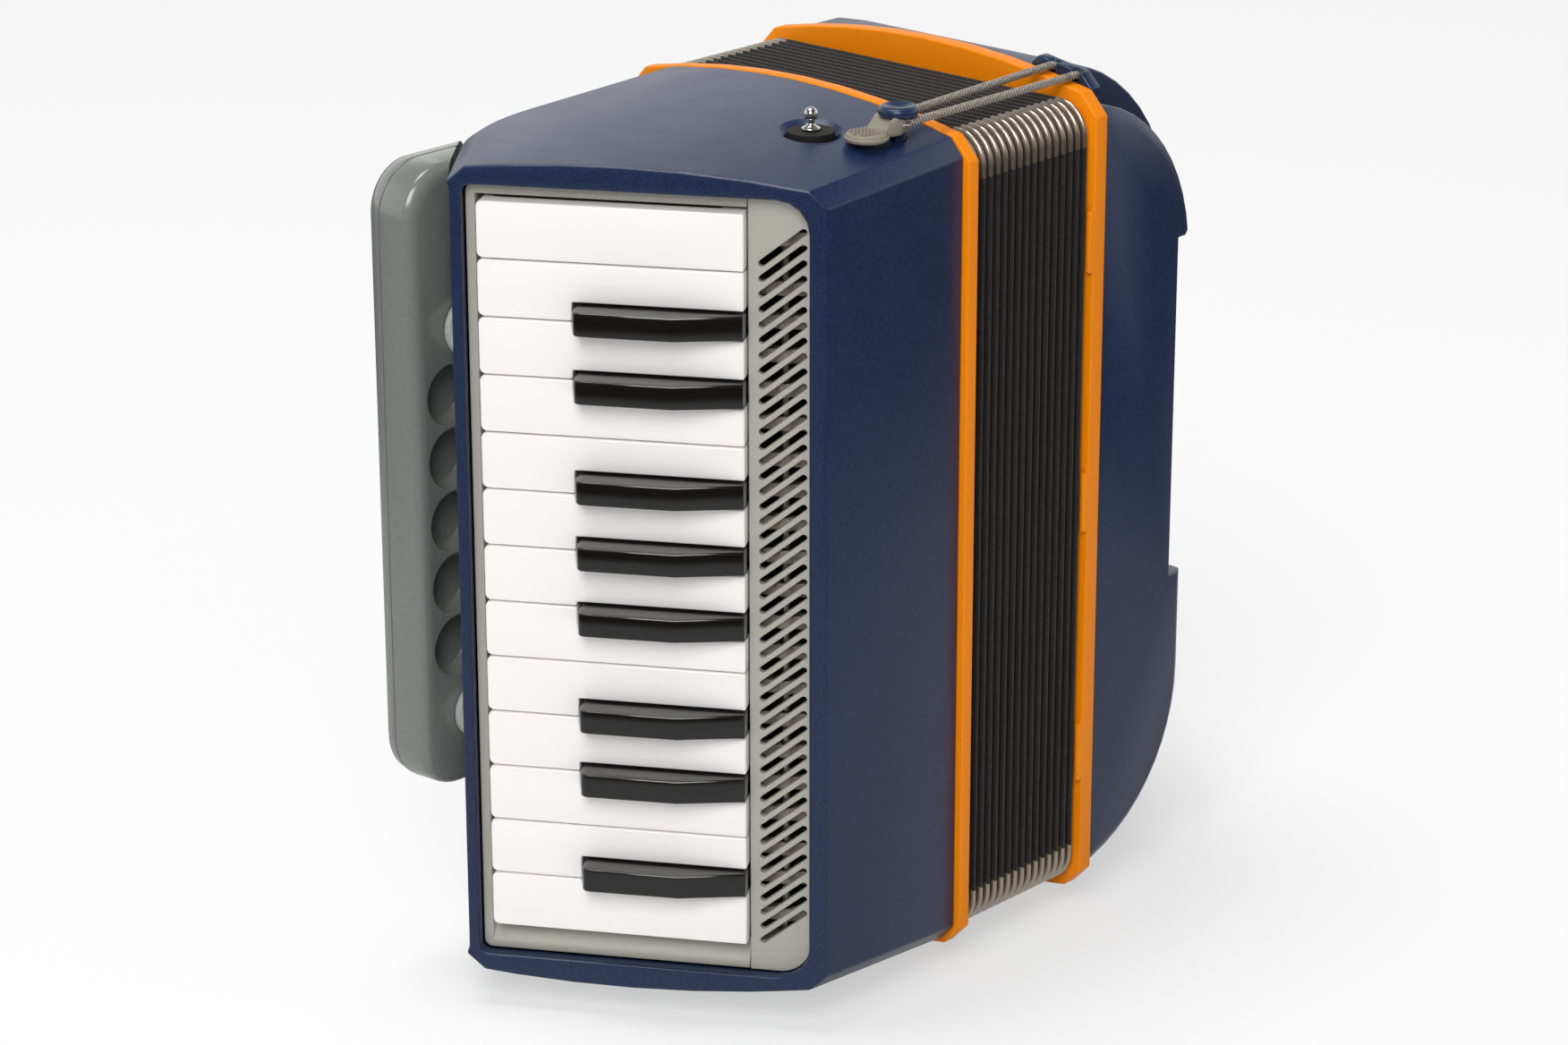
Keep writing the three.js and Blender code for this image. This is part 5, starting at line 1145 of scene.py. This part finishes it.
def dish(work):
    """Opens the pocket of the ball stud to a sloping dish, and evens the casing's top round it."""
    surface = top_height(STUD_X, STUD_Y)
    slope = (DISH_RADIUS - POCKET_RADIUS) / DISH_DEPTH
    profile = [
        (0, -DISH_DEPTH),
        (POCKET_RADIUS - DISH_INSET, -DISH_DEPTH),
        (DISH_RADIUS + slope * CUTTER_RISE, CUTTER_RISE),
        (0, CUTTER_RISE),
    ]
    cutter = lathe("dish_cutter", profile, 48, Vector())
    lean = Vector((0, 0, 1)).rotation_difference(top_upright(STUD_X, STUD_Y)).to_matrix().to_4x4()
    cutter.transform(Matrix.Translation(at(STUD_X, STUD_Y, surface)) @ lean)
    whole = bpy.data.meshes.new("uncut")
    work.to_mesh(whole)
    cut = carved(whole, cutter)
    work.clear()
    work.from_mesh(cut)
    rim = set()
    for vertex in work.verts:
        x, y, z = drawn(vertex.co)
        if hypot(x - STUD_X, y - STUD_Y) > CUP_REACH or z < surface - POCKET_DEPTH:
            continue
        vertex.co = at(x, y, min(z, top_height(x, y)))
        rim.add(vertex)
    return rim


EVEN_DEPTH = 0.3
EVEN_COSINE = cos(radians(14.0))


def even_crown(mesh):
    """Gives the top and the bottom of the treble casing the even shading of their crown."""
    normals = [corner.vector.copy() for corner in mesh.corner_normals]
    for face in mesh.polygons:
        for corner in face.loop_indices:
            x, y, z = drawn(mesh.vertices[mesh.loops[corner].vertex_index].co)
            if abs(abs(z) - top_height(x, y)) > EVEN_DEPTH:
                continue
            even = top_upright(x, y)
            even.z = copysign(even.z, z)
            if face.normal.dot(even) > EVEN_COSINE:
                normals[corner] = even
    mesh.normals_split_custom_set(normals)


def button_rims(work):
    """The points round the button holes, whose rims stay crisp."""
    rims = set()
    for name in BUTTON_DISHES:
        low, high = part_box(name)
        centre = (low + high) / 2
        reach = (high.z - low.z) / 2 + BUTTON_RIM_REACH * MM
        rims |= {v for v in work.verts if (v.co - centre).yz.length < reach}
    return rims


REST_CORNER_TURN = radians(22.5)
REST_CORNER_REACH = 26.0
REST_CHORD_LIMIT = 9.0
REST_SPLITS = 2
LEVEL_LIMIT = 0.01
SLANT_LIMIT = 0.1


def round_rest(work):
    """Splits the chords round the rest's two outer corners and moves each new point out to the arc."""
    outer = min(v.co.x for v in work.verts)
    low = min(v.co.z for v in work.verts)
    high = max(v.co.z for v in work.verts)
    reach = REST_CORNER_REACH * MM
    turn = REST_CORNER_TURN
    for _ in range(REST_SPLITS):
        chords = []
        for e in work.edges:
            a, b = (v.co for v in e.verts)
            along = b - a
            middle = (a + b) / 2
            level = abs(along.y) < LEVEL_LIMIT * MM
            slanted = min(abs(along.x), abs(along.z)) > SLANT_LIMIT * MM
            near = middle.x < outer + reach and min(middle.z - low, high - middle.z) < reach
            if level and slanted and near and along.length < REST_CHORD_LIMIT * MM:
                side = 1 if middle.z > (low + high) / 2 else -1
                out = Vector((-abs(along.z), 0, side * abs(along.x))).normalized()
                chords.append((e, middle + out * (along.length / 2 * tan(turn / 4))))
        made = bmesh.ops.subdivide_edges(work, edges=[e for e, _ in chords], cuts=1)
        for v in made["geom_inner"]:
            if isinstance(v, bmesh.types.BMVert):
                v.co = min((place for _, place in chords), key=lambda place: (place - v.co).length)
        turn /= 2
    return set()


WHITE_COUNT = 13
BLACK_COUNT = 8
for number in range(1, WHITE_COUNT + 1):
    mark_arm(dressed(f"white_key_{number:02d}", ivory, 0.55).data)
for number in range(1, BLACK_COUNT + 1):
    mark_arm(dressed(f"black_key_{number:02d}", ebony, 0.6).data)
even_crown(dressed("treble_casing", navy, 0.7, shape=dish).data)
dressed("bass_casing", navy, 0.7, shape=button_rims)
dressed("bass_front_cover", navy, 0.7)
dressed("cord_bracket", navy_smooth, 0.5, segments=2)
dressed("treble_flange", orange, 0.55)
dressed("bass_flange", orange, 0.55)
dressed("keyboard_frame", grille_grey, 0.5, segments=2)
make_grille()
dressed("body_rest_shell", rest_grey, 0.5, shape=round_rest)
dressed("body_rest_cover", rest_grey, 0.4, shape=round_rest)
for name in ("rest_post_upper", "rest_post_lower"):
    dressed(name, post_grey, 0.3, segments=2)
for name in ("treble_foot_front", "treble_foot_back", "bass_foot_front", "bass_foot_back"):
    dressed(name, black_rubber, 0.6, segments=2)

# Solids that stay as they are and only get a material
for name, material in (
    ("key_axle", steel),
    ("key_spring_comb", steel),
    # The treble soundboard gets near-black wood as painted shade behind the slots.
    ("treble_soundboard", shade_dark_board),
    ("treble_reed_block", wood_material),
    ("bass_soundboard", wood_material),
    ("bass_reed_block", wood_material),
):
    nodes[name].data.materials.clear()
    nodes[name].data.materials.append(material)

# Floor, world and lamps
FLOOR_SIZE_METRES = 12.0
FLOOR_WHITE = (0.96, 0.96, 0.965, 1.0)
# A lower glow near the object paints a darker shadow round it.
NEAR_GLOW = 0.55
FAR_GLOW = 0.76
NEAR_GLOW_METRES = 0.17
FAR_GLOW_METRES = 0.5
# What glossy pieces mirror: a painted reflection of a lit sheet near the object, dark beyond it.
SHEET_METRES = 0.42
BEYOND_METRES = 0.72
SHEET_MIRRORED = 0.55
BEYOND_MIRRORED = 0.06


def make_floor():
    """A white sheet. The camera sees it darker near the object, a painted shadow, and brighter further out.
    Glossy pieces mirror it as a painted reflection, lit near the object and dark further out.
    """
    half = FLOOR_SIZE_METRES / 2
    points = [(-half, -half, 0), (half, -half, 0), (half, half, 0), (-half, half, 0)]
    mesh = mesh_from("floor", points, [(0, 1, 2, 3)])
    sheet = Look("floor_white")
    sheet.tree.nodes.remove(sheet.tree.nodes["Principled BSDF"])
    ray = sheet.add("LightPath", {}).outputs
    distance = sheet.add("VectorMath", {0: sheet.place}, operation="LENGTH").outputs["Value"]
    glow = sheet.span(distance, NEAR_GLOW, FAR_GLOW, NEAR_GLOW_METRES, FAR_GLOW_METRES, "SMOOTHSTEP")
    share = sheet.math("MULTIPLY", ray["Is Camera Ray"], glow)
    matt = sheet.add("BsdfDiffuse", {"Color": FLOOR_WHITE}).outputs[0]
    bright = sheet.add("Emission", {"Color": WHITE}).outputs[0]
    seen = sheet.add("MixShader", {0: share, 1: matt, 2: bright}).outputs[0]
    fade = sheet.span(distance, SHEET_MIRRORED, BEYOND_MIRRORED, SHEET_METRES, BEYOND_METRES, "SMOOTHSTEP")
    mirrored_sheet = sheet.add("Emission", {"Strength": fade}).outputs[0]
    blend = sheet.add("MixShader", {0: ray["Is Glossy Ray"], 1: seen, 2: mirrored_sheet}).outputs[0]
    sheet.feed(sheet.tree.nodes["Material Output"].inputs["Surface"], blend)
    mesh.materials.append(sheet.material)
    placed("floor", mesh)


WORLD_LIGHT = 0.62
# The room darkens along each of these directions, between two cosines and down to a level.
DARK_PLACES = (((-0.74, -0.67, 0.0), -0.25, 0.75, 0.18), ((0.0, 0.0, 1.0), 0.4, 0.75, 0.2))


def make_world():
    """A room that the camera sees white. Its light is dimmer, most of all behind the camera and above."""
    world = bpy.data.worlds.new("studio")
    bpy.context.scene.world = world
    world.use_nodes = True
    room = Nodes(world.node_tree)
    direction = room.add("TexCoord", {}).outputs["Generated"]
    ray = room.add("LightPath", {}).outputs
    light = []
    for along, start, stop, low in DARK_PLACES:
        facing = room.add("VectorMath", {0: direction, 1: along}, operation="DOT_PRODUCT").outputs["Value"]
        light.append(room.span(facing, 1.0, low, start, stop, "SMOOTHSTEP"))
    level = room.add("Mix", {"Factor": ray["Is Glossy Ray"], "A": WORLD_LIGHT, "B": 1.0}).outputs["Result"]
    lit = room.math("MULTIPLY", room.math("MULTIPLY", *light), level)
    strength = room.add("Mix", {"Factor": ray["Is Camera Ray"], "A": lit, "B": 1.0}).outputs["Result"]
    background = room.tree.nodes["Background"]
    room.feed(background.inputs["Color"], WHITE)
    room.feed(background.inputs["Strength"], strength)


LAMP_TARGET = Vector((0, 0, 0.14))


def lamp(name, place, size, power):
    """A square lamp that faces the object. Its place and size are metres, its power watts."""
    data = bpy.data.lights.new(name, "AREA")
    data.size = size
    data.energy = power
    light = placed(name, data)
    light.location = place
    light.rotation_euler = (LAMP_TARGET - Vector(place)).to_track_quat("-Z", "Y").to_euler()


make_floor()
make_world()
lamp("key_lamp", (-2.2, -1.4, 2.2), 1.6, 69.0)
lamp("top_lamp", (-0.25, 0.35, 2.6), 1.1, 34.0)
